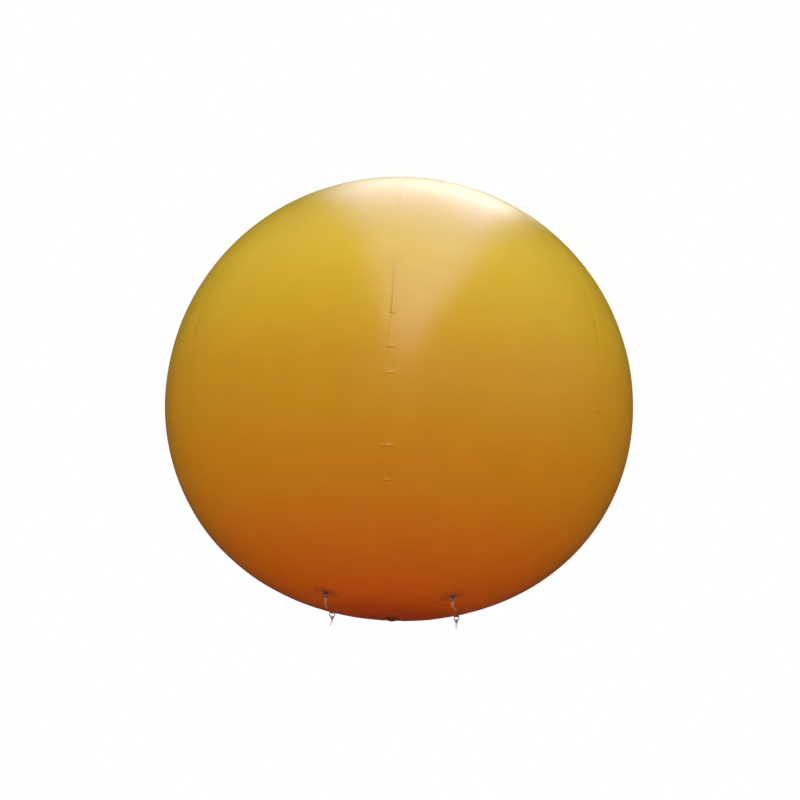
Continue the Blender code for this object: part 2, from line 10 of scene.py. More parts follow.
import bmesh
import bpy
import numpy as np
from mathutils import Matrix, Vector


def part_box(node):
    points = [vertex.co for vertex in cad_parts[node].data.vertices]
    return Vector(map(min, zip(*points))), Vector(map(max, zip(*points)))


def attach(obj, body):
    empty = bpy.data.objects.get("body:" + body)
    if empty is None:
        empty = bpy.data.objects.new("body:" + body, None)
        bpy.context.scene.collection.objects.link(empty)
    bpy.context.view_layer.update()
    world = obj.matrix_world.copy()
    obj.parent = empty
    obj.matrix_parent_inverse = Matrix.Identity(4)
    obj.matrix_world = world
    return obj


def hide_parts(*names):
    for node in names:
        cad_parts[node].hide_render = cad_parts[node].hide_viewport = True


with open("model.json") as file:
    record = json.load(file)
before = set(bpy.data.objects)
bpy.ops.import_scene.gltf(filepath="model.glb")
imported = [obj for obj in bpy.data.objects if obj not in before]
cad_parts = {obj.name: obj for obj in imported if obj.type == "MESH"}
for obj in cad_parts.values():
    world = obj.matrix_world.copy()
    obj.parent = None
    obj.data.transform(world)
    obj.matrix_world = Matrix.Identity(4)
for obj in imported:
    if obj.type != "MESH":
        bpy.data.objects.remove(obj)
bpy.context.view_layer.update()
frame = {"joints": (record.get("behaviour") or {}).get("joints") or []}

# Film: its distance from the middle is a circle with four small departures
EQUATOR_RADIUS = 1.500
OBLATENESS = 0.0398
BASE_FULLNESS = 0.0126
LOW_SHOULDER = 0.0140
SQUARENESS = 0.0056
MEAN_RADIUS = EQUATOR_RADIUS - OBLATENESS + SQUARENESS
WALL = 0.010
GAP = 0.0003

# Gores and the lap welds between them. Inner grids keep one row and column in INNER_STEP
GORES = 6
GORE_ANGLE = 2.0 * math.pi / GORES
GORE_COLUMNS = 88
GORE_ROWS = 400
INNER_STEP = 4
COLUMN_CROWDING = 0.8
PUCKER_CROWDING = 5.0
PUCKER_CROWDED_REACH = 2.5
SEAM_WIDTH = 0.028
SEAM_COLUMNS = 20
SEAM_ROWS = 420
TROUGH_DEPTH = 0.0006
TROUGH_HALF_WIDTH = 0.045
TROUGH_WAVERING = 0.30
WELD_LIFT = 0.0008
BEAD_PLACE = 0.0045
BEAD_HALF_WIDTH = 0.0022
BEAD_HEIGHT = 0.0001
EDGE_ZONE = (0.006, 0.014)
EDGE_THINNING = 0.0003

# Relief of the film, with zones by distance from the axis: it grows from the calm poles, and pleats
# have a count round the balloon and a height. Creases start at the tie discs' edges and fade
CALM_ZONE = (0.10, 0.40)
PLEAT_START = (0.13, 0.24)
PLEAT_END = (0.26, 0.62)
BROAD_PLEATS = (30.0, 0.0007)
FINE_PLEATS = (48.0, 0.0004)
CREASE_START = (0.075, 0.11)
CREASE_REACH = 0.10
CREASE_HEIGHT = 0.0024

# Polar patches, with a flat in the middle of each
TIP_RADIUS = 0.022
POLE_PATCH_RADIUS = 0.150
PATCH_LIFT = 0.0028
CROWN_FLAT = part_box("crown_patch")[1].z - PATCH_LIFT
BASE_FLAT = -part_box("base_patch")[0].z - PATCH_LIFT
VALVE_FACE = -BASE_FLAT - PATCH_LIFT
VALVE_HOLE_RADIUS = 0.020
POLE_DISC_GRID = (60, 180)

# Weld ring near a disc's edge: place, half width and depth as shares of the disc's radius and thickness
WELD_RING = (0.90, 0.022, 0.55)
RIM_THINNING = 0.6

# Tie points
TIE_RADIUS_FROM_AXIS = 0.565
TIE_PATCH_RADIUS = 0.080
TIE_DISC_GRID = (44, 120)
TIE_ROW_HALF_SPAN = math.radians(4.1)
COLUMN_ANGLE = math.radians(6.0)
HINGE_HEIGHT = 0.0115
STRAP_WIDTH = 0.030
STRAP_THICKNESS = 0.002
STRAP_HALF_LENGTH = 0.020
STRAP_BEND = 0.003
STITCH_ROWS = (-0.0175, -0.0125, 0.0125, 0.0175)
STITCHES_IN_ROW = 8
STITCH_ROW_HALF_WIDTH = 0.0125
STITCH_HALF_LENGTH = 0.0013
STITCH_HEIGHT = 0.0004
THREAD_RADIUS = 0.0003
THREAD_SINK = 0.0001
WIRE_RADIUS = 0.003
LOOP_CLEARANCE = 0.0005
RING_HALF_WIDTH = 0.022
RING_CORNER_RADIUS = 0.005
RING_BOW_CENTRE = 0.008

# The solid's bow is made of straight pieces, and the round one touches the middle of each
RING_BOW_PIECES = 15
BOW_RADIUS = RING_HALF_WIDTH * math.cos(math.pi / (2.0 * RING_BOW_PIECES))

# Tie cord and its knot. A braid's grid has points round the cord and a step along it
CORD_RADIUS = 0.002
LENGTH_OF_LAY = 0.014
CARRIERS = 8
STRAND_DEPTH = 0.12
TURN_ANGLE = math.radians(24.0)
TURN_RADIUS = 0.0055
KNOT_DROP = 0.0105
KNOT_HALF_HEIGHT = 0.0070
LEG_SIDEWAYS = 0.0045
LEG_INWARDS = (0.0020, 0.0048)
WRAPS = 3.1
WRAP_START = -0.35
WRAP_HALF_SIZES = (0.0078, 0.0044, 0.0050)
WRAP_TILT = 0.0010
WRAP_BARREL = 0.75
SHORT_END = [(-0.0040, 0.000), (-0.0050, 0.010), (-0.0075, 0.020), (-0.0088, 0.028)]
CORD_START = 0.0045
CORD_STEPS = 6
KNOT_BRAID = (32, 0.00066)
END_BRAID = (36, 0.0004)
CORD_ROUTES = [
    [(0.0, 0.0), (0.001, 0.014), (0.003, 0.030), (0.006, 0.046)],
    [(0.0, 0.0), (0.002, 0.010), (0.014, 0.023), (0.034, 0.032)],
    [(0.0, 0.0), (-0.001, 0.013), (-0.003, 0.027), (-0.006, 0.040)],
    [(0.0, 0.0), (0.002, 0.013), (0.006, 0.027), (0.011, 0.040)],
]

# Filling valve, in radius from the axis and height over the face that the flange is welded to
FLANGE_FACE = -0.0033
FLANGE_BORE = 0.0193
FLANGE_RADIUS = 0.0420
HINGE_FROM_AXIS = 0.034
HINGE_DROP = 0.0148
EAR_SIDES = (0.0053, 0.0083)
PIN_RADIUS = 0.0013
PIN_HEAD = 0.0006
NECK_RADIUS = 0.0188
THREAD_LOW_END = (-0.0146, -0.0132)
THREAD_HIGH_END = (-0.0054, -0.0040)
THREAD_DEPTH = 0.0007
THREAD_PITCH = 0.0032
CAP_TOP = -0.0015
CAP_BOTTOM = -0.0045
SCALLOPS = 40
SCALLOP_SHARE = 0.016
KNUCKLE_RADIUS = 0.0035

# Camera: on the floor, 40 m away, looking up at the balloon
VIEW_DISTANCE = 40.0
VIEW_AZIMUTH = math.radians(2.7)
VIEW_ELEVATION = math.radians(-10.5)
VIEW_ROLL = math.radians(2.1)
FRAME_PIXELS = 800.0
BALLOON_HALF_WIDTH_PIXELS = 233.9
BALLOON_CENTRE_PIXELS = (399.4, 399.0)
SENSOR_WIDTH = 36.0
FLOOR_CLEARANCE = 0.02
FLOOR_HALF_SIDE = 300.0
FLOOR_FADE = (12.0, 45.0)
FARTHEST_SEEN = 400.0

# Light, from straight down (0) to straight up (1): the room that the gloss sees and the soft light
# that falls on the film, with its levels behind the balloon and in front
ROOM_STOPS = [(0.00, "#2A2624"), (0.30, "#322E2B"), (0.45, "#46423E"), (0.60, "#5C5A58"), (0.70, "#6C6B6A"),
              (0.80, "#8E8E8E"), (0.90, "#B8B8B8"), (1.00, "#EAEAE8")]
SOFT_STOPS = [(0.00, "#C4C2BE"), (0.45, "#D0CECA"), (0.60, "#EEEDEB"), (1.00, "#FFFFFF")]
SOFT_LEVELS = (0.62, 1.10)

# Window of the room: edges across it, ends along it by angle up from the front, and the colour along
# it from the front (0) over the zenith to the back (1)
WINDOW_RADIANCE = 2.85
WINDOW_TAPER = 1.25
WINDOW_LEFT_EDGE = (-0.40, -0.12)
WINDOW_RIGHT_EDGE = (0.34, 0.56)
WINDOW_NEAR_END = np.radians([-10.0, 60.0])
WINDOW_FAR_END = np.radians([124.0, 168.0])
WINDOW_SLANT = (0.73, 1.0)
WINDOW_FALL = (-1.2, 2.2)
WINDOW_STOPS = [(0.20, "#DCD4FF"), (0.36, "#BABAFF"), (0.56, "#BCBEFF"), (0.70, "#DADCFF"),
                (0.84, "#FFFFFF")]

# Dim back of the room, glow on the right and glow in front: azimuth from the camera to its right,
# elevation and reach in degrees, level in the middle, level outside the reach
GLOWS = [(180.0, 0.0, 75.0, 0.35, 1.0), (65.0, 22.0, 50.0, 0.28, 0.0), (4.0, 12.0, 32.0, 0.35, 0.0)]

# Colour of the film from the base (0) to the crown (1): the golden film's own colour, with painted shade
# that darkens and reddens it to burnt orange towards the base
FILM_HALF_HEIGHT = 1.43
FILM_COLOUR_AND_SHADE_STOPS = [(0.00, "#DC4402"), (0.03, "#F06402"), (0.10, "#EA7202"), (0.22, "#E48802"),
              (0.36, "#E29602"), (0.50, "#E2A202"), (0.62, "#E6B402"), (0.76, "#ECC202"), (1.00, "#E8C002")]
FILM_IOR = 1.53

# How brown a weld's groove is, from the crown (0) to the base (1): a faint brown line, and two stretches,
# near the crown and above the middle, darkened further as painted shade
GROOVE_RUN_LENGTH = math.pi * MEAN_RADIUS
GROOVE_BROWN_AND_SHADE_STOPS = [(0.16, "#202020"), (0.18, "#909090"), (0.22, "#808080"), (0.25, "#202020"),
                (0.355, "#303030"), (0.37, "#A8A8A8"), (0.42, "#DCDCDC"), (0.442, "#E4E4E4"),
                (0.450, "#181818"), (0.60, "#101010")]

chance = np.random.default_rng(11)


def linear(code):
    """Linear colour of an sRGB hex code."""
    parts = np.array([int(code[start:start + 2], 16) for start in (1, 3, 5)]) / 255.0
    return (*np.where(parts <= 0.04045, parts / 12.92, ((parts + 0.055) / 1.055) ** 2.4), 1.0)


def feed(tree, item, inputs):
    """Set a node's inputs to values, or link them to sockets or to the first outputs of nodes."""
    for name, value in inputs.items():
        source = value.outputs[0] if isinstance(value, bpy.types.Node) else value
        if isinstance(source, bpy.types.NodeSocket):
            tree.links.new(source, item.inputs[name])
        else:
            item.inputs[name].default_value = source


def put(tree, kind, inputs=None, stops=None, **settings):
    """Add a shader node, by the name of its type after ShaderNode, with its settings, its inputs and,
    for a ramp, its stops."""
    item = tree.nodes.new("ShaderNode" + kind)
    for name, value in settings.items():
        setattr(item, name, value)
    feed(tree, item, inputs or {})
    if stops:
        elements = item.color_ramp.elements
        while len(elements) < len(stops):
            elements.new(1.0)
        for element, (place, code) in zip(elements, stops):
            element.position = place
            element.color = linear(code)
    return item


def finish_named(name):
    """A node material: itself, its tree, its shader and its texture coordinates."""
    material = bpy.data.materials.new(name)
    material.use_nodes = True
    tree = material.node_tree
    return material, tree, tree.nodes["Principled BSDF"], put(tree, "TexCoord").outputs


# Shapes

def softly(low, high, value):
    """0 below low, 1 above high, and a smooth cubic step between them."""
    share = np.clip((value - low) / (high - low), 0.0, 1.0)
    return share * share * (3.0 - 2.0 * share)


def lesser(first, second, softness):
    """The lesser of two values, rounded where they cross: -k log(exp(-a/k) + exp(-b/k))."""
    return -softness * np.logaddexp(-first / softness, -second / softness)


def full_turn(count):
    """Evenly spaced angles of a full turn, in a row."""
    return np.linspace(0.0, 2.0 * math.pi, count, endpoint=False)[None, :]


def arc(first, last, steps):
    """Points of the unit circle from one angle to another, in degrees: cosine and sine."""
    angle = np.radians(np.linspace(first, last, steps + 1))
    return np.stack([np.cos(angle), np.sin(angle)], axis=1)


def outward(azimuth):
    """Level unit vectors away from the axis."""
    azimuth = np.asarray(azimuth, float)
    return np.stack([np.sin(azimuth), -np.cos(azimuth), np.zeros_like(azimuth)], axis=-1)


def direction(azimuth, colatitude):
    """Unit vectors from the middle of the balloon."""
    azimuth, colatitude = np.broadcast_arrays(azimuth, colatitude)
    level = outward(azimuth) * np.sin(colatitude)[..., None]
    level[..., 2] = np.cos(colatitude)
    return level


def profile_radius(colatitude):
    """Distance of the film from the middle, a sum of cosines and sines of the latitude."""
    latitude = math.pi / 2.0 - colatitude
    return (MEAN_RADIUS + OBLATENESS * np.cos(2.0 * latitude) - BASE_FULLNESS * np.sin(latitude)
            - LOW_SHOULDER * np.sin(3.0 * latitude) - SQUARENESS * np.cos(4.0 * latitude))


def colatitude_at(radius_from_axis, pole):
    """Colatitude where the film is this far from the axis, near the crown (0) or the base (pi)."""
    colatitude = np.arcsin(radius_from_axis / profile_radius(pole))
    for _ in range(8):
        colatitude = np.arcsin(radius_from_axis / profile_radius(abs(pole - colatitude)))
    return abs(pole - colatitude)


def colatitude_of_height(height):
    """Colatitude where the film is at this height."""
    samples = np.linspace(0.02, math.pi - 0.02, 4000)
    heights = profile_radius(samples) * np.cos(samples)
    return np.interp(-np.asarray(height), -heights, samples)


TIE_COLATITUDE = colatitude_at(TIE_RADIUS_FROM_AXIS, math.pi)


def tie_axes(azimuth):
    """The axes round, down and out of the flat facet that a tie point sits on. The solids' film is a
    grid of flat faces, a column of them to each COLUMN_ANGLE, so the facet cuts a little inside."""
    across = math.cos(COLUMN_ANGLE / 2.0)
    rows = TIE_COLATITUDE + TIE_ROW_HALF_SPAN * np.array([-1.0, 1.0])
    levels = direction(azimuth, rows) * profile_radius(rows)[:, None] * [across, across, 1.0]
    down = levels[1] - levels[0]
    down /= np.linalg.norm(down)
    side = np.array([math.cos(azimuth), math.sin(azimuth), 0.0])
    normal = np.cross(down, side)
    return side, down, normal


def tie_point(number):
    """One tie point, from its ring's joint: the ring's turn about Z, the middle of its bar, the middle
    of the facet under it, and the facet's axes."""
    joint = next(item for item in frame["joints"] if item["name"] == f"ring_{number}_swing")
    hinge = np.array(joint["pos_m"])
    azimuth = math.atan2(joint["axis"][1], joint["axis"][0])
    side, down, normal = tie_axes(azimuth)
    return {"turn": np.array(Matrix.Rotation(azimuth, 3, "Z")), "hinge": hinge,
            "seat": hinge - normal * HINGE_HEIGHT, "side": side, "down": down, "normal": normal}


TIES = [tie_point(number) for number in range(1, 5)]

# Planes that cut the film down: normal, distance from the middle, softness of the edge
FLATS = [(np.array([0.0, 0.0, 1.0]), CROWN_FLAT, 0.0002), (np.array([0.0, 0.0, -1.0]), BASE_FLAT, 0.0002)]
FLATS += [(tie["normal"], float(tie["seat"] @ tie["normal"]), 0.0008) for tie in TIES]

# Slow waves of the film: direction and pitch, phase, height
WAVE_COUNT = 16
WAVE_VECTORS = chance.normal(size=(WAVE_COUNT, 3))
WAVE_VECTORS /= np.linalg.norm(WAVE_VECTORS, axis=1)[:, None]
WAVE_VECTORS *= (2.0 * math.pi * EQUATOR_RADIUS / chance.uniform(0.30, 0.85, WAVE_COUNT))[:, None]
WAVE_PHASES = chance.uniform(0.0, 2.0 * math.pi, WAVE_COUNT)
WAVE_HEIGHTS = chance.uniform(0.00010, 0.00028, WAVE_COUNT)

# Puckers where a weld gathers the film, ridges or, if less than nothing, creases. Front seam: height,
# ridge, reach across, thickness, slant
FRONT_PUCKERS = [
    (0.423, -0.0016, 0.012, 0.006, 0.00),
    (0.262, -0.0040, 0.018, 0.007, 0.00),
    (0.056, 0.0020, 0.030, 0.006, -0.04),
    (0.038, -0.0034, 0.034, 0.006, -0.04),
    (-0.114, 0.0050, 0.038, 0.007, 0.13),
    (-0.553, 0.0088, 0.042, 0.007, 0.04),
    (-0.752, 0.0088, 0.027, 0.007, -0.05),
]
UPPER_SIDE = 1.4
LOWER_SIDE = 0.6
SIDE_PUCKER_COUNT = 7
SIDE_HEIGHTS = {1: (0.290, -0.178), 5: (0.290, -0.244)}
PUCKERS = [(0, *row) for row in FRONT_PUCKERS]
for seam in range(1, GORES):
    heights = list(chance.uniform(-1.05, 1.05, SIDE_PUCKER_COUNT)) + list(SIDE_HEIGHTS.get(seam, ()))
    PUCKERS += [(seam, height, chance.uniform(0.0014, 0.0040), chance.uniform(0.022, 0.048),
                 chance.uniform(0.006, 0.009), chance.uniform(-0.25, 0.25)) for height in heights]


def from_seam(azimuth):
    """Signed angle from the nearest seam."""
    return azimuth - np.round(azimuth / GORE_ANGLE) * GORE_ANGLE


def pucker_relief(azimuth, colatitude):
    """Each pucker is a ridge across a seam, a bell curve along it and a steeper one on its lower side
    than on its upper side."""
    relief = np.zeros(np.broadcast(azimuth, colatitude).shape)
    radius = profile_radius(colatitude)
    for seam, height, ridge, reach, thickness, slant in PUCKERS:
        turn = np.mod(azimuth - seam * GORE_ANGLE + math.pi, 2.0 * math.pi) - math.pi
        across = turn * radius * np.sin(colatitude)
        up = (colatitude_of_height(height) - colatitude) * radius - slant * across
        side = thickness * np.where(up > 0.0, UPPER_SIDE, LOWER_SIDE)
        relief += ridge * np.exp(-(across / reach) ** 2 - (up / side) ** 2)
    return relief


def tie_relief(unit):
    """Faint creases that fan out round each tie disc: cosines of the angle round it, fading outwards."""
    relief = np.zeros(unit.shape[:-1])
    for tie in TIES:
        offset = unit * EQUATOR_RADIUS - tie["seat"]
        sideways = offset @ tie["side"]
        downwards = offset @ tie["down"]
        away = np.hypot(sideways, downwards)
        angle = np.arctan2(downwards, sideways)
        facing = unit @ tie["normal"] > 0.5
        near = facing * softly(*CREASE_START, away) * np.exp(-away / CREASE_REACH)
        relief += CREASE_HEIGHT * near * (np.cos(9.0 * angle + 0.8) + 0.6 * np.cos(14.0 * angle))
    return relief


def film(azimuth, colatitude, lift=0.0):
    """Points of the outer film, lifted off it by a distance. Their distance from the middle is the
    profile, less a bell-shaped trough of wavering depth along each seam, with slow waves, pleats
    towards the poles and puckers, then cut down to the flats of the poles and tie points."""
    azimuth, colatitude = np.broadcast_arrays(np.asarray(azimuth, float), np.asarray(colatitude, float))
    unit = direction(azimuth, colatitude)
    radius = profile_radius(colatitude)
    from_axis = radius * np.sin(colatitude)
    calm = softly(*CALM_ZONE, from_axis)
    wavering = 1.0 + TROUGH_WAVERING * np.sin(31.0 * colatitude + 2.0 * np.cos(3.0 * azimuth))
    trough = TROUGH_DEPTH * wavering * np.exp(-(from_seam(azimuth) * from_axis / TROUGH_HALF_WIDTH) ** 2)
    waves = np.sin(unit @ WAVE_VECTORS.T + WAVE_PHASES) @ WAVE_HEIGHTS
    pleating = softly(*PLEAT_START, from_axis) * (1.0 - softly(*PLEAT_END, from_axis))
    (broad_count, broad_height), (fine_count, fine_height) = BROAD_PLEATS, FINE_PLEATS
    pleats = (broad_height * np.cos(broad_count * azimuth + 1.3 * np.sin(5.0 * azimuth))
              + fine_height * np.cos(fine_count * azimuth))
    radius = radius + calm * (waves - trough) + pleating * pleats
    radius = radius + calm * (pucker_relief(azimuth, colatitude) + tie_relief(unit))
    for normal, distance, softness in FLATS:
        slope = unit @ normal
        plane = np.where(slope > 0.9, distance / np.maximum(slope, 0.9), 2.0 * EQUATOR_RADIUS)
        radius = lesser(radius, plane, softness)
    return unit * (radius + lift)[..., None]


def crowded_rows(count, first, last, seams):
    """Colatitudes from first to last, closer together at the puckers of these seams: equal shares of
    a running total whose density has a bell curve at each pucker."""
    samples = np.linspace(first, last, 6000)
    density = np.ones_like(samples)
    for seam, height, _, _, thickness, _ in PUCKERS:
        if seam in seams:
            away = (samples - colatitude_of_height(height)) * MEAN_RADIUS
            density += PUCKER_CROWDING * np.exp(-(away / (PUCKER_CROWDED_REACH * thickness)) ** 2)
    total = np.concatenate([[0.0], np.cumsum((density[1:] + density[:-1]) / 2.0)])
    return np.interp(np.linspace(0.0, total[-1], count), total, samples)


def grid_faces(rows, columns, wrap=False, start=0):
    """Quads of a grid whose points run row by row. Wrap joins the last column to the first."""
    row, column = np.meshgrid(np.arange(rows - 1), np.arange(columns - 1 + wrap), indexing="ij")
    after = (column + 1) % columns
    corners = [row * columns + column, row * columns + after,
               (row + 1) * columns + after, (row + 1) * columns + column]
    return (np.stack(corners, axis=-1).reshape(-1, 4) + start).tolist()


def rim_faces(outer, inner, step):
    """Faces between two closed loops of point numbers, the outer one with step points to each inner one."""
    faces = []
    for index, near in enumerate(inner):
        after = (index + 1) % len(inner)
        run = [outer[(index * step + offset) % len(outer)] for offset in range(step + 1)]
        faces.append(run + [inner[after], near])
    return faces


def border(rows, columns):
    """Point numbers round the edge of a grid, in order."""
    grid = np.arange(rows * columns).reshape(rows, columns)
    sides = [grid[0, :-1], grid[:-1, -1], grid[-1, :0:-1], grid[:0:-1, 0]]
    return np.concatenate(sides).tolist()


def slab(outer, inner, places=None):
    """Closed sheet: a grid of outer points, a coarser or equal grid of inner ones, and the rim."""
    rows, columns = outer.shape[:2]
    step = (columns - 1) // (inner.shape[1] - 1)
    start = rows * columns
    faces = grid_faces(rows, columns) + grid_faces(*inner.shape[:2], start=start)
    inner_border = [start + index for index in border(*inner.shape[:2])]
    faces += rim_faces(border(rows, columns), inner_border, step)
    points = np.concatenate([outer.reshape(-1, 3), inner.reshape(-1, 3)])
    if places is not None:
        places = np.concatenate([places.reshape(-1, 2), np.zeros((inner.size // 3, 2))])
    return points, faces, places


def round_skin(points, closed_ends=True, places=None):
    """Closed skin of a grid whose columns run round: its first and last rows end in flat faces,
    or join each other."""
    rows, columns = points.shape[:2]
    faces = grid_faces(rows, columns, wrap=True)
    last = (rows - 1) * columns
    if closed_ends:
        faces += [list(range(columns)), list(range(last, last + columns))]
    else:
        faces += [[last + column, last + (column + 1) % columns, (column + 1) % columns, column]
                  for column in range(columns)]
    return points.reshape(-1, 3), faces, None if places is None else places.reshape(-1, 2)


def add_piece(name, skins, material, body, node, edge=40.0):
    """Join closed skins in one mesh with its faces outwards, give it its finish, and put it in the
    place of its solid."""
    points = np.concatenate([skin[0] for skin in skins])
    starts = np.cumsum([0] + [len(skin[0]) for skin in skins[:-1]])
    faces = [[index + int(start) for index in face]
             for start, skin in zip(starts, skins) for face in skin[1]]
    mesh = bpy.data.meshes.new(name)
    mesh.from_pydata(points.tolist(), [], faces)
    shape = bmesh.new()
    shape.from_mesh(mesh)
    bmesh.ops.recalc_face_normals(shape, faces=shape.faces)
    shape.to_mesh(mesh)
    shape.free()
    if skins[0][2] is not None:
        places = np.concatenate([skin[2] for skin in skins])
        corner = np.empty(len(mesh.loops), np.int32)
        mesh.loops.foreach_get("vertex_index", corner)
        layer = mesh.uv_layers.new(name="lay")
        layer.data.foreach_set("uv", places[corner].astype(np.float32).ravel())
    mesh.shade_smooth()
    mesh.set_sharp_from_angle(angle=math.radians(edge))
    mesh.materials.append(material)
    piece = bpy.data.objects.new(name, mesh)
    bpy.context.scene.collection.objects.link(piece)
    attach(piece, body)
    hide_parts(node)
    return piece


def through(points, steps):
    """Points of a Catmull-Rom curve through a route, with as many steps between each two."""
    points = np.asarray(points, float)
    padded = np.concatenate([[2.0 * points[0] - points[1]], points, [2.0 * points[-1] - points[-2]]])
    before, start, end, after = padded[:-3, None], padded[1:-2, None], padded[2:-1, None], padded[3:, None]
    share = (np.arange(steps) / steps)[None, :, None]
    curve = 0.5 * (2.0 * start + (end - before) * share
                   + (2.0 * before - 5.0 * start + 4.0 * end - after) * share ** 2
                   + (3.0 * start - before - 3.0 * end + after) * share ** 3)
    return np.concatenate([curve.reshape(-1, points.shape[1]), points[-1:]])


def evenly(path, step):
    """The path again, with points about a step apart, and their distances along it."""
    run = np.concatenate([[0.0], np.cumsum(np.linalg.norm(np.diff(path, axis=0), axis=1))])
    distances = np.linspace(0.0, run[-1], max(3, int(run[-1] / step) + 1))
    return np.stack([np.interp(distances, run, path[:, axis]) for axis in range(3)], axis=1), distances


def section_frames(path, across):
    """Two unit vectors square to a path at each point, the second near the given direction."""
    along = np.gradient(path, axis=0)
    along /= np.linalg.norm(along, axis=1)[:, None]
    second = across - along * (along @ across)[:, None]
    second /= np.linalg.norm(second, axis=1)[:, None]
    return np.cross(second, along), second


def braid(path, across, sides, step):
    """Braided cord along a path: its radius dips between two sets of strands that wind opposite
    ways, as the greater of two squared sines, and its ends close in quarter circles."""
    path, run = evenly(path, step)
    first, second = section_frames(path, np.asarray(across, float))
    angle = full_turn(sides)
    lay = 2.0 * math.pi * run[:, None] / LENGTH_OF_LAY
    strands = np.maximum(np.sin(CARRIERS / 2.0 * (angle + lay)) ** 2,
                         np.sin(CARRIERS / 2.0 * (angle - lay)) ** 2)
    radius = CORD_RADIUS * (1.0 - STRAND_DEPTH + STRAND_DEPTH * strands)
    share = np.clip(np.minimum(run, run[-1] - run) / CORD_RADIUS, 0.0, 1.0)
    radius = radius * np.sqrt(np.maximum(1.0 - (1.0 - share) ** 2, 0.01))[:, None]
    skin = (path[:, None] + first[:, None] * (radius * np.cos(angle))[..., None]
            + second[:, None] * (radius * np.sin(angle))[..., None])
    return round_skin(skin)


def turned(profile, segments):
    """Points of a profile of (radius, height) turned about Z, row by row."""
    profile = np.asarray(profile, float)
    angle = full_turn(segments)
    radius = profile[:, 0][:, None]
    return np.stack([radius * np.cos(angle), radius * np.sin(angle),
                     np.broadcast_to(profile[:, 1][:, None], (len(profile), segments))], axis=-1)


def rounded(rows, steps=4):
    """Open outline through corners, from rows of first and second coordinate and how far the corner is
    cut back. Each is rounded by a quadratic curve."""
    corners = np.array([row[:2] for row in rows])
    points = [corners[0]]
    for before, corner, after, (_, _, radius) in zip(corners[:-2], corners[1:-1], corners[2:], rows[1:-1]):
        enter = corner + (before - corner) / np.linalg.norm(before - corner) * radius
        leave = corner + (after - corner) / np.linalg.norm(after - corner) * radius
        for share in np.linspace(0.0, 1.0, steps + 1):
            points.append(enter * (1 - share) ** 2 + corner * 2 * share * (1 - share) + leave * share ** 2)
    points.append(corners[-1])
    return np.array(points)


def prism(outline, low, high, rounding):
    """Closed block: a convex (y, z) outline between two values of x, with its edges eased by a
    smaller outline at each end."""
    outline = np.asarray(outline, float)
    centre = outline.mean(axis=0)
    shrunk = outline + (centre - outline) / np.linalg.norm(centre - outline, axis=1)[:, None] * rounding
    rows = [(low, shrunk), (low + rounding, outline), (high - rounding, outline), (high, shrunk)]
    return round_skin(np.array([[(x, y, z) for y, z in shape] for x, shape in rows]))


def moved(skin, shift):
    """The same skin, shifted."""
    return skin[0] + np.asarray(shift, float), skin[1], skin[2]


# Film, welds and patches

def build_gores(finish):
    """Six closed panels from crown to base, on a grid of azimuth and colatitude that is finest beside
    the seams and at the puckers."""
    first = colatitude_at(TIP_RADIUS, 0.0)
    last = colatitude_at(TIP_RADIUS, math.pi)
    share = np.linspace(0.0, 1.0, GORE_COLUMNS + 1)
    share = share - COLUMN_CROWDING * np.sin(2.0 * math.pi * share) / (2.0 * math.pi)
    for gore in range(GORES):
        rows = crowded_rows(GORE_ROWS + 1, first, last, (gore, (gore + 1) % GORES))[:, None]
        half_gap = GAP / 2.0 / (profile_radius(rows) * np.sin(rows))
        azimuth = gore * GORE_ANGLE + half_gap + (GORE_ANGLE - 2.0 * half_gap) * share[None, :]
        outer = film(azimuth, rows)
        inner = film(azimuth, rows, -WALL)[::INNER_STEP, ::INNER_STEP]
        add_piece(f"film_gore_{gore + 1}", [slab(outer, inner)], finish, "envelope",
                  f"gore_{gore + 1}", edge=60.0)


def build_seams(finish):
    """Lap welds: strips that follow the film from patch to patch, thin at their edges, with two
    pressed beads and the weld's groove between them."""
    first = colatitude_at(POLE_PATCH_RADIUS + GAP, 0.0)
    last = colatitude_at(POLE_PATCH_RADIUS + GAP, math.pi)
    across = np.linspace(-1.0, 1.0, SEAM_COLUMNS + 1) * SEAM_WIDTH / 2.0
    beads = np.exp(-((np.abs(across) - BEAD_PLACE) / BEAD_HALF_WIDTH) ** 2)
    lift = GAP + WELD_LIFT + BEAD_HEIGHT * beads - EDGE_THINNING * softly(*EDGE_ZONE, np.abs(across))
    for seam in range(GORES):
        rows = crowded_rows(SEAM_ROWS + 1, first, last, (seam,))[:, None]
        azimuth = seam * GORE_ANGLE + across[None, :] / (profile_radius(rows) * np.sin(rows))
        outer = film(azimuth, rows, lift[None, :])
        inner = film(azimuth, rows, GAP)[::INNER_STEP, ::INNER_STEP]
        run = rows * MEAN_RADIUS + 0.0 * across[None, :]
        places = np.stack([np.broadcast_to(across[None, :], run.shape), run], axis=-1)
        add_piece(f"weld_strip_{seam + 1}", [slab(outer, inner, places)], finish, "envelope",
                  f"seam_{seam + 1}", edge=60.0)


def disc_skin(azimuth, colatitude, share, closed_ends=True):
    """Closed skin of a welded disc laid on the film, from a grid whose rows are shares of its radius.
    Its thickness is full in the middle, less a bell-shaped weld ring near the edge, with a thin rim."""
    place, half_width, depth = WELD_RING
    ring = np.exp(-((share - place) / half_width) ** 2)
    thickness = (PATCH_LIFT - GAP) * (1.0 - depth * ring) * (1.0 - RIM_THINNING * softly(0.95, 1.0, share))
    outer = film(azimuth, colatitude, GAP + thickness)
    inner = film(azimuth, colatitude, GAP)
    return round_skin(np.concatenate([outer, inner[::-1]]), closed_ends)


def pole_disc(pole, hole):
    """Round patch on a pole: a grid of distance from the axis and azimuth, laid on the film."""
    rows, columns = POLE_DISC_GRID
    share = np.linspace(hole / POLE_PATCH_RADIUS, 1.0, rows)[:, None]
    colatitude = colatitude_at(np.maximum(share * POLE_PATCH_RADIUS, 0.0005), pole)
    return disc_skin(full_turn(columns), colatitude, share, closed_ends=not hole)


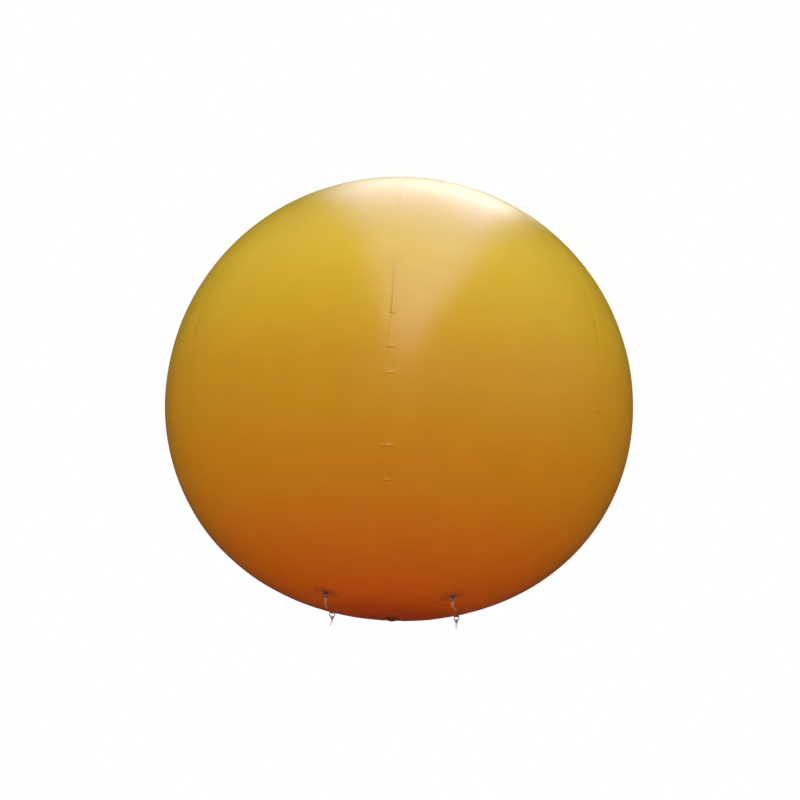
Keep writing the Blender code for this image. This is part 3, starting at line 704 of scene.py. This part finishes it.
def build_discs(weld_finish, disc_finish):
    """Patches over the gores' tips, and a disc under each tie point."""
    add_piece("crown_disc", [pole_disc(0.0, 0.0)], weld_finish, "envelope", "crown_patch")
    add_piece("base_disc", [pole_disc(math.pi, VALVE_HOLE_RADIUS)], weld_finish, "envelope",
              "base_patch")
    rows, columns = TIE_DISC_GRID
    share = np.linspace(0.01, 1.0, rows)[:, None]
    reach = share * TIE_PATCH_RADIUS
    angle = full_turn(columns)
    for number, tie in enumerate(TIES, start=1):
        flat = (tie["seat"] + tie["side"] * (reach * np.cos(angle))[..., None]
                + tie["down"] * (reach * np.sin(angle))[..., None])
        azimuth = np.arctan2(flat[..., 0], -flat[..., 1])
        colatitude = np.arccos(flat[..., 2] / np.linalg.norm(flat, axis=-1))
        add_piece(f"tie_disc_{number}", [disc_skin(azimuth, colatitude, share)], disc_finish, "envelope",
                  f"tie_patch_{number}")


# Tie points

def in_ring_frame(tie, points):
    """Points of a ring's own frame, X round the balloon and Y inwards, put in their place."""
    return np.asarray(points, float) @ tie["turn"].T + tie["hinge"]


def strap_path():
    """Middle line of the webbing in (down, out of the facet): foot, bend, loop over the bar, foot."""
    level = 2.0 * GAP + (PATCH_LIFT - GAP) + STRAP_THICKNESS / 2.0
    loop = WIRE_RADIUS + LOOP_CLEARANCE + STRAP_THICKNESS / 2.0
    foot = np.linspace([-STRAP_HALF_LENGTH, level], [-loop - STRAP_BEND, level], 8)[:-1]
    rise = [-loop - STRAP_BEND, level + STRAP_BEND] + STRAP_BEND * arc(270.0, 360.0, 6)
    over = [0.0, HINGE_HEIGHT] + loop * arc(180.0, 90.0, 12)
    half = np.concatenate([foot, rise, over])
    return np.concatenate([half, half[-2::-1] * [-1.0, 1.0]])


def build_straps(finish, thread):
    """Webbing band: a flat section with round selvedges, a superellipse, carried along the strap's
    path, with two rows of stitches, half loops of thread, on each foot."""
    line = strap_path()
    run = np.concatenate([[0.0], np.cumsum(np.linalg.norm(np.diff(line, axis=0), axis=1))])
    slope = np.gradient(line, axis=0)
    slope /= np.linalg.norm(slope, axis=1)[:, None]
    out = np.stack([-slope[:, 1], slope[:, 0]], axis=1)
    angle = full_turn(64)
    wide = np.sign(np.cos(angle)) * np.abs(np.cos(angle)) ** 0.25 * STRAP_WIDTH / 2.0
    thick = np.sign(np.sin(angle)) * np.abs(np.sin(angle)) ** 0.75 * STRAP_THICKNESS / 2.0
    section = line[:, None] + out[:, None] * thick[..., None]
    places = np.stack(np.broadcast_arrays(wide, run[:, None]), axis=-1)
    local = np.concatenate([places[..., :1], section], axis=2)
    top = line[0, 1] + STRAP_THICKNESS / 2.0
    arch = np.linspace(0.0, math.pi, 7)
    round_thread = full_turn(6)[..., None]
    for number, tie in enumerate(TIES, start=1):
        axes = np.stack([tie["side"], tie["down"], tie["normal"]])
        skins = [round_skin(local @ axes + tie["seat"], places=places)]
        band = len(skins[0][1])
        for row in STITCH_ROWS:
            for stitch in np.linspace(-STITCH_ROW_HALF_WIDTH, STITCH_ROW_HALF_WIDTH, STITCHES_IN_ROW):
                middle = np.stack([stitch + STITCH_HALF_LENGTH * np.cos(arch), np.full(7, row),
                                   top - THREAD_SINK + STITCH_HEIGHT * np.sin(arch)], axis=1)
                first, second = section_frames(middle, np.array([0.0, 1.0, 0.0]))
                ring = middle[:, None] + THREAD_RADIUS * (first[:, None] * np.cos(round_thread)
                                                          + second[:, None] * np.sin(round_thread))
                skins.append(round_skin(ring @ axes + tie["seat"], places=np.full((7, 6, 2), 0.5)))
        piece = add_piece(f"webbing_loop_{number}", skins, finish, "envelope",
                          f"tie_strap_{number}")
        piece.data.materials.append(thread)
        numbers = np.zeros(len(piece.data.polygons), np.int32)
        numbers[band:] = 1
        piece.data.polygons.foreach_set("material_index", numbers)


def ring_line():
    """Closed middle line of the ring's wire: bar at height 0, two corners and the bow under it."""
    turn = RING_CORNER_RADIUS
    right = [RING_HALF_WIDTH - turn, -turn] + turn * arc(90.0, 0.0, 7)
    bow = [0.0, -RING_BOW_CENTRE] + BOW_RADIUS * arc(0.0, -180.0, 60)
    flat = np.concatenate([right, bow, right[::-1] * [-1.0, 1.0]])
    return np.stack([flat[:, 0], np.zeros(len(flat)), flat[:, 1]], axis=1)


def build_rings(finish):
    """D-rings: a round section carried along the ring's closed line."""
    line = ring_line()
    along = np.roll(line, -1, axis=0) - np.roll(line, 1, axis=0)
    along /= np.linalg.norm(along, axis=1)[:, None]
    across = np.array([0.0, 1.0, 0.0])
    first = np.cross(across, along)
    angle = full_turn(28)[..., None]
    skin = line[:, None] + WIRE_RADIUS * (first[:, None] * np.cos(angle) + across * np.sin(angle))
    for number, tie in enumerate(TIES, start=1):
        add_piece(f"steel_ring_{number}", [round_skin(in_ring_frame(tie, skin), closed_ends=False)], finish,
                  f"ring_{number}", f"d_ring_{number}")


def bow_bottom():
    """Height of the wire's middle line at the bottom of the bow, in the ring's frame."""
    return -RING_BOW_CENTRE - BOW_RADIUS


def knot_lines():
    """Middle lines of the knot's cord, in the ring's frame, each with the direction that its sections
    turn about: two loops over the wire with their legs, three wraps round the legs, and the short end."""
    middle = bow_bottom() - KNOT_DROP
    lines = []
    for side in (-1.0, 1.0):
        spoke = np.array([side * math.sin(TURN_ANGLE), 0.0, -math.cos(TURN_ANGLE)])
        wire = np.array([0.0, 0.0, -RING_BOW_CENTRE]) + spoke * BOW_RADIUS
        loop = wire + TURN_RADIUS * arc(-100.0, -260.0, 8) @ np.array([spoke, [0.0, 1.0, 0.0]])
        below = wire + spoke * TURN_RADIUS
        leg = np.array([[side * LEG_SIDEWAYS, -LEG_INWARDS[0], middle],
                        [below[0] * 0.8, -LEG_INWARDS[1], below[2] + 0.001]])
        back = leg[::-1] * [1.0, -1.0, 1.0]
        route = through(np.concatenate([leg, loop, back]), CORD_STEPS)
        lines.append((route, np.cross(spoke, [0.0, 1.0, 0.0])))
    share = np.linspace(0.0, 1.0, 80)
    wraps = (WRAPS * share + WRAP_START) * 2.0 * math.pi
    barrel = np.sqrt(1.0 - (WRAP_BARREL * (2.0 * share - 1.0)) ** 2)
    wide, deep, tall = WRAP_HALF_SIZES
    coil = np.stack([wide * barrel * np.cos(wraps), deep * barrel * np.sin(wraps),
                     middle + tall - 2.0 * tall * share + WRAP_TILT * np.sin(wraps)], axis=1)
    lines.append((coil, np.array([0.0, 0.0, 1.0])))
    points = [(sideways, 0.0, middle - drop) for sideways, drop in SHORT_END]
    lines.append((through(points, CORD_STEPS), np.array([0.0, 1.0, 0.0])))
    return lines


def build_knots(finish):
    """Knot of each tie cord, as braided lengths along its lines."""
    lines = knot_lines()
    for number, tie in enumerate(TIES, start=1):
        skins = [braid(in_ring_frame(tie, line), tie["turn"] @ across, *KNOT_BRAID)
                 for line, across in lines]
        add_piece(f"cord_knot_{number}", skins, finish, f"ring_{number}", f"tie_knot_{number}",
                  edge=80.0)


def build_cords(finish):
    """Long end of each tie cord, hanging from under its knot."""
    start = bow_bottom() - KNOT_DROP - KNOT_HALF_HEIGHT - GAP
    for number, (tie, route) in enumerate(zip(TIES, CORD_ROUTES), start=1):
        points = [(CORD_START + sideways, 0.0, start - drop) for sideways, drop in route]
        path = in_ring_frame(tie, through(points, CORD_STEPS))
        piece = add_piece(f"cord_end_{number}", [braid(path, tie["turn"][:, 1], *END_BRAID)], finish,
                          f"ring_{number}", f"tie_cord_{number}", edge=80.0)


# Filling valve

def build_valve_ring(finish):
    """Flange: an L-shaped profile with eased edges and a weld ring turned about Z, and the cap's ears."""
    seat = -GAP
    face = FLANGE_FACE
    groove = FLANGE_FACE + 0.0010
    outline = rounded([
        (FLANGE_BORE, seat, 0.0), (FLANGE_BORE, face, 0.0004), (0.0335, face, 0.0006),
        (0.0350, groove, 0.0006), (0.0375, groove, 0.0006), (0.0390, face, 0.0006),
        (FLANGE_RADIUS, face, 0.0012), (FLANGE_RADIUS, seat, 0.0002), (FLANGE_BORE + 0.0004, seat, 0.0)])
    skins = [round_skin(turned(outline, 96), closed_ends=False)]
    inner, outer = HINGE_FROM_AXIS - 0.004, HINGE_FROM_AXIS + 0.004
    top, bottom = -0.0018, -0.0168
    ear = rounded([(HINGE_FROM_AXIS, top, 0.0), (inner, top, 0.0002), (inner, bottom, 0.0030),
                   (outer, bottom, 0.0030), (outer, top, 0.0002), (HINGE_FROM_AXIS, top, 0.0)], steps=6)[:-1]
    pin = [HINGE_FROM_AXIS, -HINGE_DROP] + PIN_RADIUS * arc(0.0, 337.5, 15)
    for side in (-1.0, 1.0):
        near, far = (side * reach for reach in EAR_SIDES)
        tip = far + side * PIN_HEAD
        skins.append(prism(ear, min(near, far), max(near, far), 0.0004))
        skins.append(prism(pin, min(far, tip), max(far, tip), 0.0002))
    skins = [moved(skin, (0.0, 0.0, VALVE_FACE)) for skin in skins]
    add_piece("valve_ring", skins, finish, "envelope", "valve_flange", edge=30.0)


def build_valve_tube(finish):
    """Neck: a turned tube with a round lip and a blind end, its outside cut by a thread whose radius
    is a cosine of height and angle together."""
    outline = rounded([
        (0.0005, 0.0160, 0.0), (0.0140, 0.0160, 0.0010), (0.0140, -0.0160, 0.0012),
        (NECK_RADIUS, -0.0160, 0.0012), (NECK_RADIUS, 0.0190, 0.0010), (0.0005, 0.0190, 0.0)])
    shape, _ = evenly(np.concatenate([outline, np.zeros((len(outline), 1))], axis=1), 0.0004)
    skin = turned(shape[:, :2], 96)
    angle = full_turn(96)
    height = skin[..., 2]
    outside = np.hypot(skin[..., 0], skin[..., 1]) > 0.0180
    threaded = softly(*THREAD_LOW_END, height) * (1.0 - softly(*THREAD_HIGH_END, height)) * outside
    depth = THREAD_DEPTH * threaded * (0.5 - 0.5 * np.cos(2.0 * math.pi * height / THREAD_PITCH + angle))
    skin[..., :2] *= (1.0 - depth / NECK_RADIUS)[..., None]
    skin[..., 2] += VALVE_FACE
    add_piece("valve_tube", [round_skin(skin)], finish, "envelope", "valve_neck",
              edge=50.0)


def build_valve_plug(finish):
    """Cap: a turned disc with a grip of small scallops round its rim, a plug with a sealing ring, and
    an arm with its knuckle and a finger tab."""
    top, bottom = CAP_TOP, CAP_BOTTOM
    dish = bottom + 0.0008
    outline = rounded([
        (0.0005, 0.0065, 0.0), (0.0125, 0.0065, 0.0014), (0.0125, 0.0030, 0.0002), (0.0121, 0.0024, 0.0003),
        (0.0125, 0.0018, 0.0002), (0.0125, top, 0.0006), (0.0210, top, 0.0008), (0.0210, bottom, 0.0008),
        (0.0165, bottom, 0.0004), (0.0155, dish, 0.0004), (0.0005, dish, 0.0)])
    skin = turned(outline, 240)
    rim = softly(0.0195, 0.0208, np.hypot(skin[..., 0], skin[..., 1]))
    skin[..., :2] *= (1.0 - SCALLOP_SHARE * rim * np.abs(np.sin(SCALLOPS / 2.0 * full_turn(240))))[..., None]
    hinge = np.array([0.0, HINGE_FROM_AXIS, VALVE_FACE - HINGE_DROP])
    upper, lower = top - 0.0005, bottom + 0.0005
    arm = [(-0.0170, top), (-0.0170, lower), (0.0, lower), *(KNUCKLE_RADIUS * arc(-75.0, 150.0, 18)),
           (-KNUCKLE_RADIUS, top)]
    tab = rounded([(-0.0580, upper, 0.0), (-0.0520, upper, 0.0002), (-0.0520, lower, 0.0002),
                   (-0.0660, lower, 0.0009), (-0.0660, upper, 0.0009), (-0.0580, upper, 0.0)])[:-1]
    skins = [moved(round_skin(skin), (0.0, 0.0, hinge[2])), moved(prism(arm, -0.005, 0.005, 0.0004), hinge),
             moved(prism(tab, -0.007, 0.007, 0.0006), hinge)]
    add_piece("valve_plug", skins, finish, "valve_cap", "valve_cap", edge=35.0)


# Finishes

def film_colour_and_shade(tree, place, shade=1.0):
    """Colour of the film from crown to base, golden above and burnt orange below: the film's own golden
    colour, with painted shade that darkens and reddens it towards the base, and faint clouds about
    0.2 m across where the pigment is thicker."""
    height = put(tree, "SeparateXYZ", {"Vector": place}).outputs["Z"]
    share = put(tree, "MapRange", {"Value": height, "From Min": -FILM_HALF_HEIGHT,
                                   "From Max": FILM_HALF_HEIGHT})
    # Painted shade: the ramp darkens and reddens the film from the crown down to the base.
    ramp = put(tree, "ValToRGB", {"Fac": share}, stops=FILM_COLOUR_AND_SHADE_STOPS)
    clouds = put(tree, "TexNoise", {"Vector": place, "Scale": 5.0, "Detail": 3.0})
    level = put(tree, "MapRange", {"Value": clouds, "From Min": 0.3, "From Max": 0.7,
                                   "To Min": 0.98 * shade, "To Max": 1.02 * shade})
    return put(tree, "VectorMath", {0: ramp, "Scale": level}, operation="SCALE")


def calendered_film():
    """Calendered PVC film, pigmented through: smooth and glossy, with a faint orange peel from the
    rollers, 7 mm apart, that softens the edges of reflections."""
    material, tree, shader, places = finish_named("calendered_golden_pvc_film")
    place = places["Object"]
    peel = put(tree, "TexNoise", {"Vector": place, "Scale": 140.0, "Detail": 2.0})
    bump = put(tree, "Bump", {"Height": peel, "Strength": 0.012, "Distance": 0.002})
    scuffs = put(tree, "TexNoise", {"Vector": place, "Scale": 6.0, "Detail": 2.0})
    rough = put(tree, "MapRange", {"Value": scuffs, "From Min": 0.35, "From Max": 0.70,
                                   "To Min": 0.22, "To Max": 0.268})
    feed(tree, shader, {"Base Color": film_colour_and_shade(tree, place), "Normal": bump, "Roughness": rough,
                        "IOR": FILM_IOR})
    return material


def welded_film():
    """Two layers of the film under a heated bar, with fine cross ribs, 3 mm apart, from the bar. The
    weld's groove is a thin brown line, faint but for a stretch above the middle and one near the
    crown, which are darkened further as painted shade."""
    material, tree, shader, places = finish_named("bar_welded_pvc_film")
    place = places["Object"]
    lay = put(tree, "SeparateXYZ", {"Vector": places["UV"]}).outputs
    away = put(tree, "Math", {0: lay["X"]}, operation="ABSOLUTE")
    groove = put(tree, "MapRange", {"Value": away, "From Min": 0.0010, "From Max": 0.0030, "To Min": 1.0,
                                    "To Max": 0.0}, interpolation_type="SMOOTHSTEP")
    length = put(tree, "Math", {0: lay["Y"], 1: GROOVE_RUN_LENGTH}, operation="DIVIDE")
    # Painted shade: along two stretches of each seam the groove is browned far more than elsewhere.
    groove_brown_and_shade = put(tree, "ValToRGB", {"Fac": length}, stops=GROOVE_BROWN_AND_SHADE_STOPS)
    patchy = put(tree, "TexNoise", {"Vector": place, "Scale": 9.0, "Detail": 3.0})
    depth = put(tree, "MapRange", {"Value": patchy, "From Min": 0.35, "From Max": 0.65, "To Min": 0.7,
                                   "To Max": 1.0})
    strength = put(tree, "Math", {0: groove_brown_and_shade, 1: depth}, operation="MULTIPLY")
    browned_and_shaded = put(tree, "Math", {0: groove, 1: strength}, operation="MULTIPLY")
    colour = put(tree, "Mix", {0: browned_and_shaded, 6: film_colour_and_shade(tree, place), 7: linear("#6A3408")},
                 data_type="RGBA")
    turns = put(tree, "Math", {0: lay["Y"], 1: 2.0 * math.pi / 0.003}, operation="MULTIPLY")
    rib = put(tree, "Math", {0: turns}, operation="SINE")
    pressed = put(tree, "MapRange", {"Value": away, "From Min": 0.006, "From Max": 0.009, "To Min": 1.0,
                                     "To Max": 0.0})
    height = put(tree, "Math", {0: rib, 1: pressed}, operation="MULTIPLY")
    bump = put(tree, "Bump", {"Height": height, "Strength": 0.10, "Distance": 0.0003})
    feed(tree, shader, {"Base Color": colour.outputs[2], "Normal": bump, "Roughness": 0.25,
                        "IOR": FILM_IOR})
    return material


def doubled_film():
    """A second layer of film pressed on the first: a shade deeper, with a fine grain from the press
    cloth, drawn 4 mm apart so that it shows."""
    material, tree, shader, places = finish_named("pressed_double_pvc_film")
    place = places["Object"]
    grain = put(tree, "TexVoronoi", {"Vector": place, "Scale": 250.0})
    bump = put(tree, "Bump", {"Height": grain, "Strength": 0.12, "Distance": 0.001})
    feed(tree, shader, {"Base Color": film_colour_and_shade(tree, place, 0.88), "Normal": bump, "Roughness": 0.33,
                        "IOR": FILM_IOR})
    return material


def tie_disc_film():
    """Thick PVC disc in the film's colour, mixed unevenly towards dark brown as painted shade, so it is
    darker than the film round it and only satin, with a pressed grain, drawn 3 mm apart so that it shows."""
    material, tree, shader, places = finish_named("welded_pvc_disc_with_painted_shade")
    place = places["Object"]
    patchy_darkening = put(tree, "TexNoise", {"Vector": place, "Scale": 22.0, "Detail": 4.0})
    depth = put(tree, "MapRange", {"Value": patchy_darkening, "From Min": 0.3, "From Max": 0.7, "To Min": 0.10,
                                   "To Max": 0.30})
    # Painted shade: the disc is the film's colour made a little darker and mixed, by patches, towards dark
    # brown.
    browned_and_shaded = put(tree, "Mix", {0: depth, 6: film_colour_and_shade(tree, place, 0.92), 7: linear("#7A2A02")},
                  data_type="RGBA")
    grain = put(tree, "TexVoronoi", {"Vector": place, "Scale": 300.0})
    bump = put(tree, "Bump", {"Height": grain, "Strength": 0.15, "Distance": 0.001})
    feed(tree, shader, {"Base Color": browned_and_shaded.outputs[2], "Normal": bump, "Roughness": 0.42,
                        "Specular IOR Level": 0.25, "IOR": FILM_IOR})
    return material


def woven_webbing():
    """Woven polyester webbing, dyed red-brown: warp cords 2 mm apart crossed by weft every 1.5 mm, a
    matt surface whose colour follows the threads' height, with painted highlights on their crowns and
    painted shade in the hollows between them."""
    material, tree, shader, places = finish_named("woven_polyester_webbing")
    lay = put(tree, "SeparateXYZ", {"Vector": places["UV"]}).outputs
    waves = []
    for axis, pitch in (("X", 0.0020), ("Y", 0.0015)):
        turns = put(tree, "Math", {0: lay[axis], 1: math.pi / pitch}, operation="MULTIPLY")
        waves.append(put(tree, "Math", {0: turns}, operation="SINE"))
    crossing = put(tree, "Math", {0: waves[0], 1: waves[1]}, operation="MULTIPLY")
    crown = put(tree, "Math", {0: crossing}, operation="ABSOLUTE")
    fibre = put(tree, "TexNoise", {"Vector": places["Object"], "Scale": 900.0, "Detail": 2.0})
    height = put(tree, "Math", {0: fibre, 1: 0.35, 2: crown}, operation="MULTIPLY_ADD")
    # Painted shade and highlight: the colour runs from dark in the weave's hollows to bright on the threads'
    # crowns.
    ramp = put(tree, "ValToRGB", {"Fac": height},
               stops=[(0.10, "#3C1606"), (0.60, "#6E2A0C"), (1.00, "#8E421C")])
    bump = put(tree, "Bump", {"Height": height, "Strength": 0.8, "Distance": 0.0004})
    feed(tree, shader, {"Base Color": ramp, "Normal": bump, "Roughness": 0.78, "Sheen Weight": 0.25})
    return material


def bonded_thread():
    """Bonded nylon thread, twisted and waxed, a paler brown than the webbing."""
    material, tree, shader, places = finish_named("bonded_nylon_thread")
    twist = put(tree, "TexNoise", {"Vector": places["Object"], "Scale": 1500.0})
    ramp = put(tree, "ValToRGB", {"Fac": twist}, stops=[(0.35, "#6E4A2A"), (0.65, "#A07848")])
    feed(tree, shader, {"Base Color": ramp, "Roughness": 0.5})
    return material


def drawn_steel():
    """Polished stainless wire: bright, with drawing lines 0.4 mm apart and rubbed dull patches scattered
    by noise over the whole wire."""
    material, tree, shader, places = finish_named("polished_stainless_wire")
    place = places["Object"]
    rub = put(tree, "TexNoise", {"Vector": place, "Scale": 160.0, "Detail": 5.0})
    ramp = put(tree, "ValToRGB", {"Fac": rub},
               stops=[(0.30, "#B9B6B0"), (0.60, "#DAD8D4"), (0.80, "#E6E5E2")])
    rough = put(tree, "MapRange", {"Value": rub, "From Min": 0.35, "From Max": 0.70, "To Min": 0.32,
                                   "To Max": 0.14})
    lines = put(tree, "TexNoise", {"Vector": place, "Scale": 2400.0, "Detail": 1.0})
    bump = put(tree, "Bump", {"Height": lines, "Strength": 0.05, "Distance": 0.0002})
    feed(tree, shader, {"Metallic": 1.0, "Base Color": ramp, "Normal": bump, "Roughness": rough})
    return material


def braided_cord():
    """Braided polyester cord, a faded pinkish tan: filaments half a millimetre thick, browner where
    dust has caught."""
    material, tree, shader, places = finish_named("braided_polyester_cord")
    place = places["Object"]
    fibre = put(tree, "TexNoise", {"Vector": place, "Scale": 1800.0, "Detail": 2.0})
    dust = put(tree, "TexNoise", {"Vector": place, "Scale": 90.0, "Detail": 3.0})
    mixed = put(tree, "Math", {0: dust, 1: 0.6, 2: fibre}, operation="MULTIPLY_ADD")
    ramp = put(tree, "ValToRGB", {"Fac": mixed},
               stops=[(0.45, "#9C6C50"), (0.80, "#CEA284"), (1.00, "#E0BCA2")])
    bump = put(tree, "Bump", {"Height": fibre, "Strength": 0.5, "Distance": 0.0002})
    feed(tree, shader, {"Base Color": ramp, "Normal": bump, "Roughness": 0.72, "Sheen Weight": 0.2})
    return material


def moulded_vinyl():
    """Injection-moulded soft PVC, red-brown: a satin skin with spark texture from the mould, drawn
    0.7 mm apart so that it shows, and a little darker in clouds."""
    material, tree, shader, places = finish_named("moulded_soft_pvc")
    place = places["Object"]
    clouds = put(tree, "TexNoise", {"Vector": place, "Scale": 45.0, "Detail": 3.0})
    ramp = put(tree, "ValToRGB", {"Fac": clouds},
               stops=[(0.30, "#6E3418"), (0.55, "#824420"), (0.80, "#8C4C26")])
    grain = put(tree, "TexNoise", {"Vector": place, "Scale": 1400.0, "Detail": 2.0})
    bump = put(tree, "Bump", {"Height": grain, "Strength": 0.12, "Distance": 0.0003})
    feed(tree, shader, {"Base Color": ramp, "Normal": bump, "Roughness": 0.40})
    return material


# Studio

def view_axes():
    """Unit vectors of the camera: right, up and back, before its roll."""
    back = direction(VIEW_AZIMUTH, math.pi / 2.0 - VIEW_ELEVATION)
    right = np.array([math.cos(VIEW_AZIMUTH), math.sin(VIEW_AZIMUTH), 0.0])
    return right, np.cross(back, right), back


def build_camera():
    """A long lens on the floor, looking up at the balloon, turned a little about its own line."""
    right, up, back = view_axes()
    lens = bpy.data.cameras.new("camera")
    tangent = math.tan(math.asin(EQUATOR_RADIUS / VIEW_DISTANCE))
    lens.sensor_width = SENSOR_WIDTH
    lens.lens = BALLOON_HALF_WIDTH_PIXELS / tangent * SENSOR_WIDTH / FRAME_PIXELS
    lens.shift_x = (FRAME_PIXELS / 2.0 - BALLOON_CENTRE_PIXELS[0]) / FRAME_PIXELS
    lens.shift_y = (BALLOON_CENTRE_PIXELS[1] - FRAME_PIXELS / 2.0) / FRAME_PIXELS
    lens.clip_end = FARTHEST_SEEN
    camera = bpy.data.objects.new("camera", lens)
    bpy.context.scene.collection.objects.link(camera)
    across = right * math.cos(VIEW_ROLL) + up * math.sin(VIEW_ROLL)
    upright = up * math.cos(VIEW_ROLL) - right * math.sin(VIEW_ROLL)
    turn = Matrix(np.stack([across, upright, back], axis=1).tolist()).to_4x4()
    camera.matrix_world = Matrix.Translation((back * VIEW_DISTANCE).tolist()) @ turn
    bpy.context.scene.camera = camera
    return float(back[2] * VIEW_DISTANCE)


def build_floor(height):
    """Plain pale floor, which fades to the white of the backdrop far out and isn't there from below."""
    half = FLOOR_HALF_SIDE
    corners = [(-half, -half), (half, -half), (half, half), (-half, half)]
    mesh = bpy.data.meshes.new("floor")
    mesh.from_pydata([(x, y, height) for x, y in corners], [], [(0, 1, 2, 3)])
    material, tree, shader, places = finish_named("pale_floor")
    output = tree.nodes["Material Output"]
    grain = put(tree, "TexNoise", {"Vector": places["Object"], "Scale": 0.8, "Detail": 4.0})
    pale = put(tree, "ValToRGB", {"Fac": grain}, stops=[(0.3, "#F0EFEC"), (0.7, "#F6F5F3")])
    feed(tree, shader, {"Base Color": pale, "Roughness": 0.9})
    away = put(tree, "VectorMath", {0: places["Object"]}, operation="LENGTH")
    fade = put(tree, "MapRange", {"Value": away.outputs["Value"], "From Min": FLOOR_FADE[0],
                                  "From Max": FLOOR_FADE[1]}, interpolation_type="SMOOTHSTEP")
    white = put(tree, "Emission", {"Color": linear("#FFFFFF")})
    near = put(tree, "MixShader", {0: fade, 1: shader, 2: white})
    from_below = put(tree, "NewGeometry").outputs["Backfacing"]
    shown = put(tree, "MixShader", {0: from_below, 1: near, 2: put(tree, "BsdfTransparent")})
    feed(tree, output, {"Surface": shown})
    mesh.materials.append(material)
    floor = bpy.data.objects.new("floor", mesh)
    bpy.context.scene.collection.objects.link(floor)
    floor.visible_diffuse = False
    floor.visible_glossy = False


def light_studio():
    """White backdrop and soft light from all round, brightest above and in front. What the gloss sees
    is a dim room, darkest behind the balloon, with a low glow in front, a dim one to the right, and one
    long soft window: a leaf from low in front, over the zenith, to the back, sky-blue but white at its
    far end. The window's sides narrow as a power of the height, and its edges are smooth steps."""
    right, _, _ = view_axes()
    forward = outward(VIEW_AZIMUTH)
    world = bpy.data.worlds.new("studio")
    bpy.context.scene.world = world
    world.use_nodes = True
    tree = world.node_tree
    ray = put(tree, "TexCoord").outputs["Generated"]
    height, ahead, aside = (
        put(tree, "VectorMath", {0: ray, 1: axis}, operation="DOT_PRODUCT").outputs["Value"]
        for axis in ((0.0, 0.0, 1.0), forward, right))
    share = put(tree, "MapRange", {"Value": height, "From Min": -1.0, "From Max": 1.0})

    slope = put(tree, "Math", {0: height, 1: ahead}, operation="ARCTAN2")
    above = put(tree, "Math", {0: height, 1: 0.001}, operation="MAXIMUM")
    narrowing = put(tree, "Math", {0: above, 1: WINDOW_TAPER}, operation="POWER")
    spread = put(tree, "Math", {0: aside, 1: narrowing}, operation="DIVIDE")
    edges = ((spread, WINDOW_LEFT_EDGE, 0.0, 1.0), (spread, WINDOW_RIGHT_EDGE, 1.0, 0.0),
             (slope, WINDOW_NEAR_END, 0.0, 1.0), (slope, WINDOW_FAR_END, 1.0, 0.0))
    factors = [put(tree, "MapRange", {"Value": value, "From Min": step[0], "From Max": step[1],
                                      "To Min": before, "To Max": after}, interpolation_type="SMOOTHSTEP")
               for value, step, before, after in edges]
    factors += [put(tree, "Math", {0: value, 1: rise, 2: level}, operation="MULTIPLY_ADD")
                for value, (rise, level) in ((spread, WINDOW_SLANT), (height, WINDOW_FALL))]
    window = WINDOW_RADIANCE
    for factor in factors:
        window = put(tree, "Math", {0: factor, 1: window}, operation="MULTIPLY")
    along = put(tree, "Math", {0: slope, 1: math.pi}, operation="DIVIDE")
    panes = put(tree, "ValToRGB", {"Fac": along}, stops=WINDOW_STOPS)
    daylight = put(tree, "VectorMath", {0: panes, "Scale": window}, operation="SCALE")

    glows = []
    for azimuth, elevation, reach, level, rest in GLOWS:
        turn, lift = math.radians(azimuth), math.radians(elevation)
        flat = forward * math.cos(turn) + right * math.sin(turn)
        axis = flat * math.cos(lift) + [0.0, 0.0, math.sin(lift)]
        toward = put(tree, "VectorMath", {0: ray, 1: axis}, operation="DOT_PRODUCT").outputs["Value"]
        glows.append(put(tree, "MapRange", {
            "Value": toward, "From Min": math.cos(math.radians(reach)), "From Max": 1.0, "To Min": rest,
            "To Max": level}, interpolation_type="SMOOTHSTEP"))
    dim, right_glow, front_glow = glows
    lamps = put(tree, "Math", {0: right_glow, 1: front_glow}, operation="ADD")
    lights = put(tree, "VectorMath", {0: daylight, 1: lamps}, operation="ADD")
    walls = put(tree, "ValToRGB", {"Fac": share}, stops=ROOM_STOPS)
    room = put(tree, "VectorMath", {0: walls, "Scale": dim}, operation="SCALE")
    radiance = put(tree, "VectorMath", {0: room, 1: lights}, operation="ADD")
    gloss = put(tree, "Background", {"Color": radiance})

    front = put(tree, "MapRange", {"Value": ahead, "From Min": -1.0, "From Max": 1.0,
                                   "To Min": SOFT_LEVELS[0], "To Max": SOFT_LEVELS[1]},
                interpolation_type="SMOOTHSTEP")
    soft = put(tree, "ValToRGB", {"Fac": share}, stops=SOFT_STOPS)
    light = put(tree, "Background", {"Color": soft, "Strength": front})
    backdrop = put(tree, "Background", {"Color": linear("#FFFFFF")})
    path = put(tree, "LightPath").outputs
    lit = put(tree, "MixShader", {0: path["Is Glossy Ray"], 1: light, 2: gloss})
    seen = put(tree, "MixShader", {0: path["Is Camera Ray"], 1: lit, 2: backdrop})
    feed(tree, tree.nodes["World Output"], {"Surface": seen})
    bpy.context.scene.view_settings.view_transform = "Standard"


def main():
    """The view first, then the cords, then every other piece."""
    floor_height = build_camera() - FLOOR_CLEARANCE
    cord = braided_cord()
    build_cords(cord)
    build_knots(cord)
    build_gores(calendered_film())
    build_seams(welded_film())
    build_discs(doubled_film(), tie_disc_film())
    build_straps(woven_webbing(), bonded_thread())
    build_rings(drawn_steel())
    plastic = moulded_vinyl()
    build_valve_ring(plastic)
    build_valve_tube(plastic)
    build_valve_plug(plastic)
    build_floor(floor_height)
    light_studio()


main()
